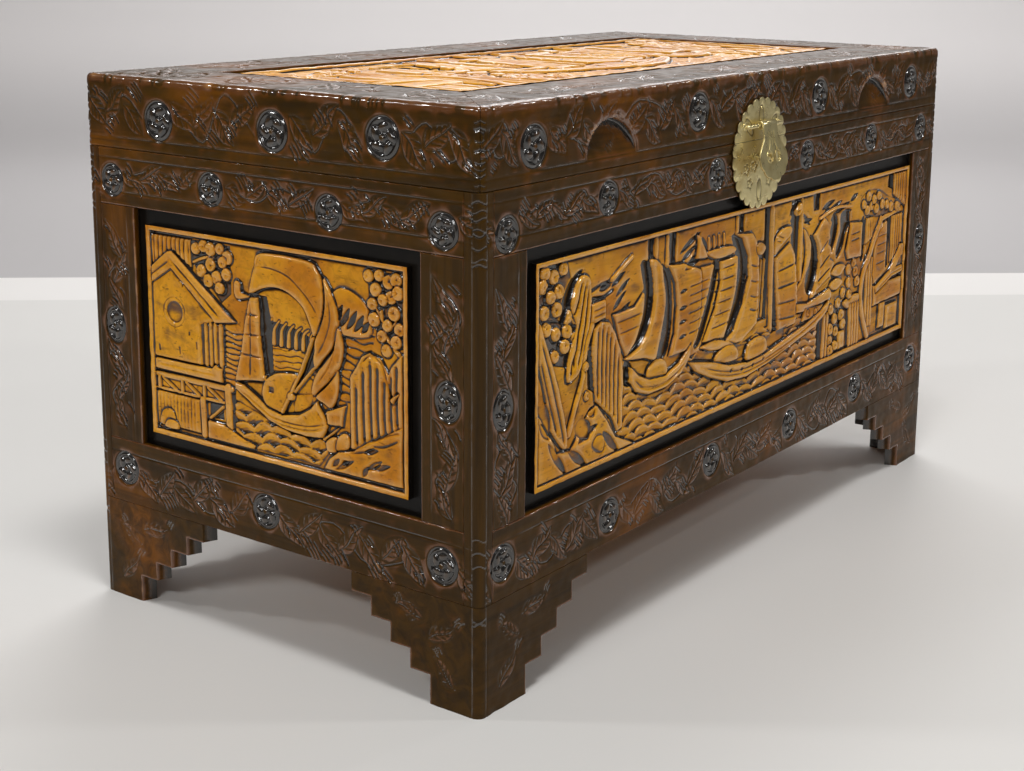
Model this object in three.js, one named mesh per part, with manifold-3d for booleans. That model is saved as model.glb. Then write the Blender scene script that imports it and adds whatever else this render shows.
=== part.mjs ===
// Carved camphorwood chest on stepped bracket feet, with a hinged lid and a
// brass hasp lock.  Millimetres, +Z up, front towards -Y, length along X.
import * as THREE from 'three';
import { mergeVertices } from 'three/addons/utils/BufferGeometryUtils.js';
import Module from 'manifold-3d';

const wasm = await Module();
wasm.setup();

// ---- driving dimensions ----------------------------------------------------
const LENGTH = 1016;
const DEPTH = 528;
const HEIGHT = 575;
const FEET_TOP = 111;
const SEAM = 499.2;
const SEAM_GAP = 0.6;
const JOINT_GAP = 0.3;
const CORNER_RADIUS = 9;
const CORNER_SEGMENTS = 6;
const CUT_MARGIN = 5;

// Walls: a dark frame glued over an ebonised board, between corner posts.
const WALL = 19;
const FRAME_THICK = 9;
const STILE_EDGE = 70;
const RECESS_BOTTOM = 182;
const RECESS_TOP = 439;
const BORDER = 16.5;
const PANEL_THICK = 8;

// Feet: each wing is a board cut in steps, STEPS of them after the foot.
const FOOT_THICK = 15;
const FOOT_HEIGHT = 30;
const STEPS = 4;
const FRONT_FOOT = 72;
const FRONT_STEP = 26;
const END_FOOT = 60;
const END_STEP = 24.75;

// Inside the case.
const FLOOR_BOTTOM = 132;
const FLOOR_THICK = 12;
const CLEAT = 18;
const LIP_THICK = 6;
const LIP_BOTTOM = 470;
const LIP_TOP = 506;

// Lid.
const LID_RAIL = 17;
const LID_FRAME_EDGE = 98;
const LID_BOARD_THICK = 12;
const SCOOP_OFFSET = 300;
const SCOOP_HALF_WIDTH = 43;
const SCOOP_BOTTOM = 510;
const SCOOP_HEIGHT = 38;
const SCOOP_ANGLE = 17.5;
const SCOOP_SEGMENTS = 16;
const MITRE_SEGMENTS = 4;

// Lock.
const PLATE_RADIUS = 63;
const PLATE_CENTRE = 483;
const PLATE_THICK = 2;
const PLATE_LOBES = 28;
const LOBE_DEPTH = 2.2;
const POINTS_PER_LOBE = 4;
const BAR_HEIGHT = 516;
const BAR_STANDOFF = 8.5;
const BAR_RADIUS = 2.5;
const BAR_HALF_LENGTH = 40;
const BAR_LEG_HALF_WIDTH = 3;
const BAR_LEG_HALF_HEIGHT = 2;
const HASP_KNUCKLE = 5;
const HASP_BORE = 3;
const HASP_THICK = 2.2;
const HASP_TILT = 10;
const HASP_NECK = 15;
const HASP_END = 32;
const HASP_LENGTH = 63;
const HASP_END_DROP = 0.8 * HASP_END;
const HASP_WAIST = 2;
const HASP_WAIST_SHARE = 0.45;
const EYE_OFFSET = 9;
const EYE_HEIGHT = 480;
const EYE_RADIUS = 2.5;
const EYE_REACH = 13.5;
const EYE_SEGMENTS = 12;
const EYE_CLEARANCE = 2;
const EYE_BASE_THICK = 1.5;
const EYE_BASE_HALF_WIDTH = 16;
const EYE_BASE_HALF_HEIGHT = 5;

// Back hinges.
const HINGE_OFFSET = 330;
const HINGE_HALF_WIDTH = 32;
const HINGE_LEAF = 26;
const HINGE_THICK = 1.8;
const HINGE_KNUCKLE = 3.6;
const HINGE_BORE = 2.1;
const HINGE_PIN = 1.9;
const HINGE_STANDOFF = 4.5;
const HINGE_MIDDLE = 10;

const HALF_LENGTH = LENGTH / 2;
const HALF_DEPTH = DEPTH / 2;
const POST_TOP = SEAM - SEAM_GAP / 2;
const LID_BOTTOM = SEAM + SEAM_GAP / 2;

// ---- materials -------------------------------------------------------------
function finish(colour, roughness, metalness = 0) {
  return new THREE.MeshStandardMaterial({ color: colour, roughness, metalness });
}
const lacquer = finish(0x3a2716, 0.35);
const ebony = finish(0x1b1a19, 0.4);
const carved = finish(0xb9782b, 0.45);
const camphor = finish(0xb58a5a, 0.7);
const brass = finish(0xb9a46a, 0.35, 0.9);

// ---- helpers ---------------------------------------------------------------
const model = new THREE.Group();

function add(parent, name, geometry, material) {
  const mesh = new THREE.Mesh(geometry, material);
  mesh.name = name;
  parent.add(mesh);
  return mesh;
}

function box(x0, x1, y0, y1, z0, z1) {
  const geometry = new THREE.BoxGeometry(x1 - x0, y1 - y0, z1 - z0);
  return geometry.translate((x0 + x1) / 2, (y0 + y1) / 2, (z0 + z1) / 2);
}

function rod(radius, length, segments = 16) {
  const geometry = new THREE.CylinderGeometry(radius, radius, length, segments);
  return geometry.rotateZ(Math.PI / 2);
}

function solid(geometry) {
  const bare = geometry.clone();
  bare.deleteAttribute('normal');
  bare.deleteAttribute('uv');
  const merged = mergeVertices(bare, 1e-4);
  const mesh = new wasm.Mesh({
    numProp: 3,
    vertProperties: Float32Array.from(merged.attributes.position.array),
    triVerts: Uint32Array.from(merged.index.array),
  });
  return new wasm.Manifold(mesh);
}

function surface(manifold) {
  const mesh = manifold.getMesh();
  const geometry = new THREE.BufferGeometry();
  const positions = Float32Array.from(mesh.vertProperties);
  geometry.setAttribute('position', new THREE.BufferAttribute(positions, 3));
  geometry.setIndex(new THREE.BufferAttribute(Uint32Array.from(mesh.triVerts), 1));
  geometry.computeVertexNormals();
  return geometry;
}

// A prism on a plan outline, standing from z0 to z1.
function prism(shape, z0, z1) {
  const options = { depth: z1 - z0, bevelEnabled: false, curveSegments: 6 };
  return new THREE.ExtrudeGeometry(shape, options).translate(0, 0, z0);
}

// An upright plate on an (x, z) outline, from its outer face at y0 back to y1.
function upright(shape, y0, y1, curveSegments = 6) {
  const options = { depth: y1 - y0, bevelEnabled: false, curveSegments };
  const geometry = new THREE.ExtrudeGeometry(shape, options);
  return geometry.rotateX(Math.PI / 2).translate(0, y1, 0);
}

// The four faces as turned groups: in each, the face looks towards -Y and
// u runs along it, so one function builds all four walls.
const FACES = [
  { name: 'front', half: HALF_LENGTH, out: HALF_DEPTH, turn: 0, ends: ['left', 'right'] },
  { name: 'back', half: HALF_LENGTH, out: HALF_DEPTH, turn: 180, ends: ['right', 'left'] },
  { name: 'left', half: HALF_DEPTH, out: HALF_LENGTH, turn: -90, ends: ['back', 'front'] },
  { name: 'right', half: HALF_DEPTH, out: HALF_LENGTH, turn: 90, ends: ['front', 'back'] },
];

function faceGroup(face) {
  const group = new THREE.Group();
  group.rotation.z = THREE.MathUtils.degToRad(face.turn);
  model.add(group);
  return group;
}

// ---- case walls ------------------------------------------------------------
function buildWall(face) {
  const group = faceGroup(face);
  const outer = -face.out;
  const frameBack = outer + FRAME_THICK;
  const end = face.half - WALL - JOINT_GAP;
  const inner = face.half - STILE_EDGE;
  const rail = (name, z0, z1) =>
    add(group, name, box(-end, end, outer, frameBack, z0, z1), lacquer);
  rail(`top_rail_${face.name}`, RECESS_TOP, POST_TOP);
  rail(`bottom_rail_${face.name}`, FEET_TOP, RECESS_BOTTOM);
  face.ends.forEach((side, i) => {
    const span = i === 0 ? [-end, -inner] : [inner, end];
    const z0 = RECESS_BOTTOM + JOINT_GAP;
    const z1 = RECESS_TOP - JOINT_GAP;
    const stile = box(span[0], span[1], outer, frameBack, z0, z1);
    add(group, `stile_${face.name}_${side}`, stile, lacquer);
  });
  const boardFace = frameBack + JOINT_GAP;
  const board = box(-end, end, boardFace, outer + WALL, FEET_TOP, POST_TOP);
  add(group, `wall_board_${face.name}`, board, ebony);
  if (face.name !== 'back') {
    const u = inner - BORDER;
    const z0 = RECESS_BOTTOM + BORDER;
    const z1 = RECESS_TOP - BORDER;
    const back = boardFace - JOINT_GAP;
    const panel = box(-u, u, back - PANEL_THICK, back, z0, z1);
    add(group, `carved_panel_${face.name}`, panel, carved);
  }
}

// ---- corner posts and feet -------------------------------------------------
const CORNERS = [
  { name: 'front_left', sx: -1, sy: -1 },
  { name: 'front_right', sx: 1, sy: -1 },
  { name: 'back_left', sx: -1, sy: 1 },
  { name: 'back_right', sx: 1, sy: 1 },
];

// Plan of a corner block, `sizeX` by `sizeY`, with its outer arris rounded.
function cornerPlan({ sx, sy }, sizeX, sizeY) {
  const shape = new THREE.Shape();
  const x = sx * HALF_LENGTH;
  const y = sy * HALF_DEPTH;
  shape.moveTo(x - sx * sizeX, y);
  for (let i = 0; i <= CORNER_SEGMENTS; i += 1) {
    const angle = (i / CORNER_SEGMENTS) * (Math.PI / 2);
    const px = x - sx * CORNER_RADIUS * (1 - Math.sin(angle));
    const py = y - sy * CORNER_RADIUS * (1 - Math.cos(angle));
    shape.lineTo(px, py);
  }
  shape.lineTo(x, y - sy * sizeY);
  shape.lineTo(x - sx * sizeX, y - sy * sizeY);
  return shape;
}

function buildPost(corner) {
  const plan = cornerPlan(corner, WALL, WALL);
  add(model, `corner_post_${corner.name}`, prism(plan, FEET_TOP, POST_TOP), lacquer);
}

// Outline of one wing: a straight foot, then steps up to the rail.
function wingOutline(sign, edge, foot, step) {
  const rise = (FEET_TOP - FOOT_HEIGHT) / STEPS;
  const top = FEET_TOP - JOINT_GAP;
  const shape = new THREE.Shape();
  shape.moveTo(sign * edge, 0);
  shape.lineTo(sign * (edge - foot), 0);
  for (let i = 0; i < STEPS; i += 1) {
    const z = FOOT_HEIGHT + i * rise;
    shape.lineTo(sign * (edge - foot - i * step), z);
    shape.lineTo(sign * (edge - foot - (i + 1) * step), z);
  }
  shape.lineTo(sign * (edge - foot - STEPS * step), top);
  shape.lineTo(sign * edge, top);
  return shape;
}

function buildFoot(corner) {
  const { name, sx, sy } = corner;
  const long = wingOutline(sx, HALF_LENGTH, FRONT_FOOT, FRONT_STEP);
  const short = wingOutline(sy, HALF_DEPTH, END_FOOT, END_STEP);
  const along = upright(long, -FOOT_THICK / 2, FOOT_THICK / 2);
  along.translate(0, sy * (HALF_DEPTH - FOOT_THICK / 2), 0);
  const across = upright(short, -FOOT_THICK / 2, FOOT_THICK / 2).rotateZ(Math.PI / 2);
  across.translate(sx * (HALF_LENGTH - FOOT_THICK / 2), 0, 0);
  const plan = cornerPlan(corner, LENGTH / 2, DEPTH / 2);
  const envelope = solid(prism(plan, -CUT_MARGIN, FEET_TOP + CUT_MARGIN));
  const foot = solid(along).add(solid(across)).intersect(envelope);
  add(model, `foot_${name}`, surface(foot), lacquer);
}

// ---- floor, cleats and dust lip --------------------------------------------
function buildInside() {
  const x = HALF_LENGTH - WALL - JOINT_GAP;
  const y = HALF_DEPTH - WALL - JOINT_GAP;
  const top = FLOOR_BOTTOM + FLOOR_THICK;
  add(model, 'floor_board_front', box(-x, x, -y, -JOINT_GAP / 2, FLOOR_BOTTOM, top), camphor);
  add(model, 'floor_board_back', box(-x, x, JOINT_GAP / 2, y, FLOOR_BOTTOM, top), camphor);
  const z0 = FLOOR_BOTTOM - JOINT_GAP - CLEAT;
  const z1 = FLOOR_BOTTOM - JOINT_GAP;
  add(model, 'cleat_front', box(-x, x, -y, -y + CLEAT, z0, z1), camphor);
  add(model, 'cleat_back', box(-x, x, y - CLEAT, y, z0, z1), camphor);
  const frontLip = box(-x, x, -y, -y + LIP_THICK, LIP_BOTTOM, LIP_TOP);
  add(model, 'lip_front', frontLip, camphor);
  const lipFront = -y + LIP_THICK + JOINT_GAP;
  const leftLip = box(-x, -x + LIP_THICK, lipFront, y, LIP_BOTTOM, LIP_TOP);
  add(model, 'lip_left', leftLip, camphor);
  const rightLip = box(x - LIP_THICK, x, lipFront, y, LIP_BOTTOM, LIP_TOP);
  add(model, 'lip_right', rightLip, camphor);
}

// ---- lid -------------------------------------------------------------------
// Plan of a rail mitred at both ends, its outer corners rounded by `radius`.
function mitredPlan(half, out, width, radius) {
  const shape = new THREE.Shape();
  const end = half - JOINT_GAP;
  const y = -out;
  shape.moveTo(-(end - width), y + width);
  for (const sign of [-1, 1]) {
    for (let i = 0; i <= MITRE_SEGMENTS; i += 1) {
      const step = sign < 0 ? i : MITRE_SEGMENTS - i;
      const angle = (step / MITRE_SEGMENTS) * (Math.PI / 4) + Math.PI / 4;
      const dx = radius * (1 - Math.cos(angle));
      const dy = radius * (1 - Math.sin(angle));
      shape.lineTo(sign * (end - dx), y + dy);
      if (radius === 0) break;
    }
  }
  shape.lineTo(end - width, y + width);
  return shape;
}

// A half-moon finger recess whose floor leans in towards the top.
function scoopCutter(x) {
  const shape = new THREE.Shape();
  shape.moveTo(-SCOOP_HALF_WIDTH, 0);
  shape.lineTo(SCOOP_HALF_WIDTH, 0);
  shape.absellipse(0, 0, SCOOP_HALF_WIDTH, SCOOP_HEIGHT, 0, Math.PI, false, 0);
  const cutter = upright(shape, -2 * SCOOP_HEIGHT, 0, SCOOP_SEGMENTS);
  cutter.rotateX(THREE.MathUtils.degToRad(-SCOOP_ANGLE));
  return solid(cutter.translate(x, -HALF_DEPTH, SCOOP_BOTTOM));
}

function buildLid() {
  for (const face of FACES) {
    const group = faceGroup(face);
    const plan = mitredPlan(face.half, face.out, LID_RAIL, CORNER_RADIUS);
    let rail = prism(plan, LID_BOTTOM, HEIGHT);
    if (face.name === 'front') {
      const cut = solid(rail).subtract(scoopCutter(-SCOOP_OFFSET));
      rail = surface(cut.subtract(scoopCutter(SCOOP_OFFSET)));
    }
    add(group, `lid_rail_${face.name}`, rail, lacquer);
    const inset = LID_RAIL + JOINT_GAP;
    const width = LID_FRAME_EDGE - inset;
    const framePlan = mitredPlan(face.half - inset, face.out - inset, width, 0);
    const frame = prism(framePlan, HEIGHT - FRAME_THICK, HEIGHT);
    add(group, `lid_frame_${face.name}`, frame, lacquer);
  }
  const x = HALF_LENGTH - LID_RAIL - JOINT_GAP;
  const y = HALF_DEPTH - LID_RAIL - JOINT_GAP;
  const boardTop = HEIGHT - FRAME_THICK - JOINT_GAP;
  const board = box(-x, x, -y, y, boardTop - LID_BOARD_THICK, boardTop);
  add(model, 'lid_board', board, ebony);
  const px = HALF_LENGTH - LID_FRAME_EDGE - BORDER;
  const py = HALF_DEPTH - LID_FRAME_EDGE - BORDER;
  const z0 = boardTop + JOINT_GAP;
  const panel = box(-px, px, -py, py, z0, z0 + PANEL_THICK);
  add(model, 'carved_panel_lid', panel, carved);
}

// ---- lock ------------------------------------------------------------------
const FRONT = -HALF_DEPTH;
const PLATE_BACK = FRONT - JOINT_GAP;
const PLATE_FACE = PLATE_BACK - PLATE_THICK;

function scallopedDisc(radius, lobes, perLobe) {
  const shape = new THREE.Shape();
  const count = lobes * perLobe;
  for (let i = 0; i < count; i += 1) {
    const angle = (i / count) * 2 * Math.PI;
    const r = radius - LOBE_DEPTH * (1 - Math.abs(Math.sin((angle * lobes) / 2)));
    const point = [r * Math.cos(angle), r * Math.sin(angle)];
    if (i === 0) shape.moveTo(...point);
    else shape.lineTo(...point);
  }
  return shape;
}

function buildLockPlates() {
  const outline = scallopedDisc(PLATE_RADIUS, PLATE_LOBES, POINTS_PER_LOBE);
  const whole = solid(upright(outline, PLATE_FACE, PLATE_BACK).translate(0, 0, PLATE_CENTRE));
  const reach = PLATE_RADIUS + CUT_MARGIN;
  const front = PLATE_FACE - CUT_MARGIN;
  const above = solid(box(-reach, reach, front, 0, LID_BOTTOM, PLATE_CENTRE + reach));
  const below = solid(box(-reach, reach, front, 0, PLATE_CENTRE - reach, POST_TOP));
  add(model, 'lock_plate_upper', surface(whole.intersect(above)), brass);
  add(model, 'lock_plate_lower', surface(whole.intersect(below)), brass);
}

// The bar is bent back to the plate at both ends.
function buildHaspBar() {
  const barY = FRONT - BAR_STANDOFF;
  const length = 2 * BAR_HALF_LENGTH;
  let bar = solid(rod(BAR_RADIUS, length).translate(0, barY, BAR_HEIGHT));
  const foot = PLATE_FACE - JOINT_GAP;
  for (const sign of [-1, 1]) {
    const x0 = sign * (BAR_HALF_LENGTH - BAR_RADIUS);
    const span = [x0 - BAR_LEG_HALF_WIDTH, x0 + BAR_LEG_HALF_WIDTH];
    const rise = [BAR_HEIGHT - BAR_LEG_HALF_HEIGHT, BAR_HEIGHT + BAR_LEG_HALF_HEIGHT];
    bar = bar.add(solid(box(...span, barY, foot, ...rise)));
  }
  add(model, 'hasp_bar', surface(bar), brass);
}

// Outline of the hasp below its knuckle: a neck that flares to a round end.
function haspOutline() {
  const shape = new THREE.Shape();
  const centre = HASP_END_DROP - HASP_LENGTH;
  const waist = [HASP_NECK - HASP_WAIST, centre * HASP_WAIST_SHARE];
  shape.moveTo(-HASP_NECK, 0);
  shape.quadraticCurveTo(-waist[0], waist[1], -HASP_END, centre);
  shape.absellipse(0, centre, HASP_END, HASP_END_DROP, Math.PI, 2 * Math.PI, false, 0);
  shape.quadraticCurveTo(waist[0], waist[1], HASP_NECK, 0);
  for (const sign of [-1, 1]) {
    const hole = new THREE.Path();
    const z = EYE_HEIGHT - BAR_HEIGHT;
    hole.absarc(sign * EYE_OFFSET, z, EYE_RADIUS + EYE_CLEARANCE, 0, 2 * Math.PI, true);
    shape.holes.push(hole);
  }
  return shape;
}

function buildHasp() {
  const barY = FRONT - BAR_STANDOFF;
  const tilt = THREE.MathUtils.degToRad(-HASP_TILT);
  const ring = rod(HASP_KNUCKLE, 2 * HASP_NECK).translate(0, barY, BAR_HEIGHT);
  const bore = rod(HASP_BORE, 2 * HASP_NECK + CUT_MARGIN).translate(0, barY, BAR_HEIGHT);
  const leaf = upright(haspOutline(), -HASP_KNUCKLE, HASP_THICK - HASP_KNUCKLE);
  leaf.rotateX(tilt).translate(0, barY, BAR_HEIGHT);
  const hasp = solid(ring).add(solid(leaf)).subtract(solid(bore));
  add(model, 'hasp', surface(hasp), brass);
}

// Two short eyes on a small base, which end just behind the hasp's holes.
function buildStaple() {
  const face = PLATE_FACE - JOINT_GAP;
  const half = EYE_BASE_HALF_WIDTH;
  const low = EYE_HEIGHT - EYE_BASE_HALF_HEIGHT;
  const high = EYE_HEIGHT + EYE_BASE_HALF_HEIGHT;
  let staple = solid(box(-half, half, face - EYE_BASE_THICK, face, low, high));
  for (const sign of [-1, 1]) {
    const eye = new THREE.CylinderGeometry(EYE_RADIUS, EYE_RADIUS, EYE_REACH, EYE_SEGMENTS);
    eye.translate(sign * EYE_OFFSET, face - EYE_REACH / 2, EYE_HEIGHT);
    staple = staple.add(solid(eye));
  }
  add(model, 'lock_staple', surface(staple), brass);
}

// ---- back hinges -----------------------------------------------------------
function hingeLeaf(x, up) {
  const back = HALF_DEPTH;
  const axisY = back + HINGE_STANDOFF;
  const y0 = back + JOINT_GAP;
  const y1 = y0 + HINGE_THICK;
  const w = HINGE_HALF_WIDTH;
  const z1 = SEAM + up * HINGE_LEAF;
  const near = SEAM + up * JOINT_GAP;
  const clear = HINGE_KNUCKLE + JOINT_GAP;
  let leaf = solid(box(-w, w, y0, y1, Math.min(near, z1), Math.max(near, z1)));
  const spans = up > 0
    ? [[-HINGE_MIDDLE, HINGE_MIDDLE]]
    : [[-w, -HINGE_MIDDLE - JOINT_GAP], [HINGE_MIDDLE + JOINT_GAP, w]];
  const notches = up > 0
    ? [[-w - CUT_MARGIN, -HINGE_MIDDLE], [HINGE_MIDDLE, w + CUT_MARGIN]]
    : [[-HINGE_MIDDLE - JOINT_GAP, HINGE_MIDDLE + JOINT_GAP]];
  for (const [a, b] of notches) {
    const deep = [y0 - CUT_MARGIN, y1 + CUT_MARGIN];
    leaf = leaf.subtract(solid(box(a, b, ...deep, SEAM - clear, SEAM + clear)));
  }
  for (const [a, b] of spans) {
    const tube = rod(HINGE_KNUCKLE, b - a).translate((a + b) / 2, axisY, SEAM);
    leaf = leaf.add(solid(tube));
  }
  const bore = rod(HINGE_BORE, 2 * w + CUT_MARGIN).translate(0, axisY, SEAM);
  return surface(leaf.subtract(solid(bore))).translate(x, 0, 0);
}

function buildHinge(name, x) {
  add(model, `hinge_${name}_case_leaf`, hingeLeaf(x, -1), brass);
  add(model, `hinge_${name}_lid_leaf`, hingeLeaf(x, 1), brass);
  const pin = rod(HINGE_PIN, 2 * HINGE_HALF_WIDTH);
  pin.translate(x, HALF_DEPTH + HINGE_STANDOFF, SEAM);
  add(model, `hinge_${name}_pin`, pin, brass);
}

// ---- assembly --------------------------------------------------------------
FACES.forEach(buildWall);
CORNERS.forEach(buildPost);
CORNERS.forEach(buildFoot);
buildInside();
buildLid();
buildLockPlates();
buildHaspBar();
buildHasp();
buildStaple();
buildHinge('left', -HINGE_OFFSET);
buildHinge('right', HINGE_OFFSET);

// The origin is the bottom centre of the whole chest, lock and hinges included.
const bounds = new THREE.Box3().setFromObject(model);
model.position.y = -(bounds.min.y + bounds.max.y) / 2;
const group = new THREE.Group();
group.add(model);

export default group;
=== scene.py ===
"""Carved camphorwood chest: the looks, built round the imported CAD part.

Carved wood is made as height maps in millimetres, which are then laid over the
faces of the CAD nodes.  Meshes are in metres, in the part's own frame.
"""

import math

import bmesh
import bpy
import numpy as np
from mathutils import Matrix, Vector


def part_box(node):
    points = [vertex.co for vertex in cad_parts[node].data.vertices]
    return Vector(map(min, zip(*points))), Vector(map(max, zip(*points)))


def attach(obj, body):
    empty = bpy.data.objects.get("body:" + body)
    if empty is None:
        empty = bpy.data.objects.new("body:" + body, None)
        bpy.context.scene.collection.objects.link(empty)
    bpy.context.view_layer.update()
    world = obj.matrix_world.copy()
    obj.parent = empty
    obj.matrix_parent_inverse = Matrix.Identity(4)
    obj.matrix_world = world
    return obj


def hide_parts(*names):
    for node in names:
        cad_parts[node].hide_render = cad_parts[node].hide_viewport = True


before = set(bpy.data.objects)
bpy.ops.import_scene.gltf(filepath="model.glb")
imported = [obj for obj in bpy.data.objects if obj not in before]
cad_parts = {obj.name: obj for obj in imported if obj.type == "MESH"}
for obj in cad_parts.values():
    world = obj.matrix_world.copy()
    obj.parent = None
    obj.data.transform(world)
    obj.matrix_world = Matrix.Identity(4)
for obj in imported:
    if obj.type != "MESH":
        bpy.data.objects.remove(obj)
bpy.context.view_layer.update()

MM = 0.001


# ---- places taken from the frame, in millimetres ---------------------------
def box_mm(node):
    """The low and high corners of a CAD node's box."""
    low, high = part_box(node)
    return np.array(low) / MM, np.array(high) / MM


LEFT = box_mm("corner_post_front_left")[0][0]
FRONT = box_mm("corner_post_front_left")[0][1]
RIGHT = box_mm("corner_post_back_right")[1][0]
BACK = box_mm("corner_post_back_right")[1][1]
FEET_TOP, POST_TOP = box_mm("corner_post_front_left")[0][2], box_mm("corner_post_front_left")[1][2]
LID_BOTTOM, LID_TOP = box_mm("lid_rail_front")[0][2], box_mm("lid_rail_front")[1][2]
LENGTH, DEPTH = RIGHT - LEFT, BACK - FRONT
POST = box_mm("corner_post_front_left")[1][0] - LEFT
RAIL_THICK = box_mm("top_rail_front")[1][1] - FRONT
RECESS_BOTTOM = box_mm("bottom_rail_front")[1][2]
RECESS_TOP = box_mm("top_rail_front")[0][2]
LID_RAIL = box_mm("lid_rail_front")[1][1] - FRONT
LID_EDGE = box_mm("lid_frame_front")[1][1] - FRONT
LID_FRAME_THICK = LID_TOP - box_mm("lid_frame_front")[0][2]
PANEL_THICK = np.ptp([corner[2] for corner in box_mm("carved_panel_lid")])
CORNER_RADIUS = 9.0
CORNER_ARC = CORNER_RADIUS * math.pi / 2
LID_ARRIS = 5.0
CARVE_STEP, TOP_CARVE_STEP = 0.8, 1.2  # spacing of the carving's samples, on the sides and top
DEEPEST_CUT, DEEPEST_TOP_CUT = 12.5, 4.0
rng = np.random.default_rng(11)


# ---- curves and distances --------------------------------------------------
def smooth(t):
    """0 up to 0 and 1 from 1 on, with a soft rise between."""
    t = np.clip(t, 0.0, 1.0)
    return t * t * (3.0 - 2.0 * t)


def curve(points, closed=False, per=6):
    """A smooth curve through a few points."""
    p = np.array(points, float)
    n = len(p)

    def at(k):
        """Point k, going round a closed line or staying at an open line's end."""
        return p[k % n] if closed else p[min(max(k, 0), n - 1)]

    out = []
    for k in range(n if closed else n - 1):
        a, b, c, d = at(k - 1), at(k), at(k + 1), at(k + 2)
        for t in np.arange(per) / per:
            square = (2 * a - 5 * b + 4 * c - d) * t * t
            cube = (3 * b - a - 3 * c + d) * t ** 3
            out.append(0.5 * (2 * b + (c - a) * t + square + cube))
    if not closed:
        out.append(p[-1])
    return np.array(out)


def line_distance(line, u, v):
    """Distance to an open line, and how far along it the nearest point is."""
    best = np.full(u.shape, 1e9)
    along = np.zeros(u.shape)
    spans = len(line) - 1
    for k in range(spans):
        a, e = line[k], line[k + 1] - line[k]
        du, dv = u - a[0], v - a[1]
        t = np.clip((du * e[0] + dv * e[1]) / (e @ e + 1e-9), 0.0, 1.0)
        d = (du - t * e[0]) ** 2 + (dv - t * e[1]) ** 2
        closer = d < best
        best = np.where(closer, d, best)
        along = np.where(closer, (k + t) / spans, along)
    return np.sqrt(best), along


def outline_distance(outline, u, v):
    """Distance to a closed outline, negative inside it."""
    line = np.vstack([outline, outline[:1]])
    distance, _ = line_distance(line, u, v)
    inside = np.zeros(u.shape, bool)
    for (ax, ay), (bx, by) in zip(line[:-1], line[1:]):
        if ay == by:
            continue
        crosses = ((ay > v) != (by > v)) & (u < (bx - ax) * (v - ay) / (by - ay) + ax)
        inside ^= crosses
    return np.where(inside, -distance, distance)


def blur(field, radius):
    """A soft average, as three box passes along each axis."""
    width = 2 * radius + 1
    for axis in (0, 1):
        for _ in range(3):
            pad = [(radius + 1, radius) if a == axis else (0, 0) for a in (0, 1)]
            total = np.cumsum(np.pad(field, pad, mode="edge"), axis=axis)
            n = total.shape[axis]
            upper = np.take(total, range(width, n), axis=axis)
            lower = np.take(total, range(0, n - width), axis=axis)
            field = (upper - lower) / width
    return field


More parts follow.
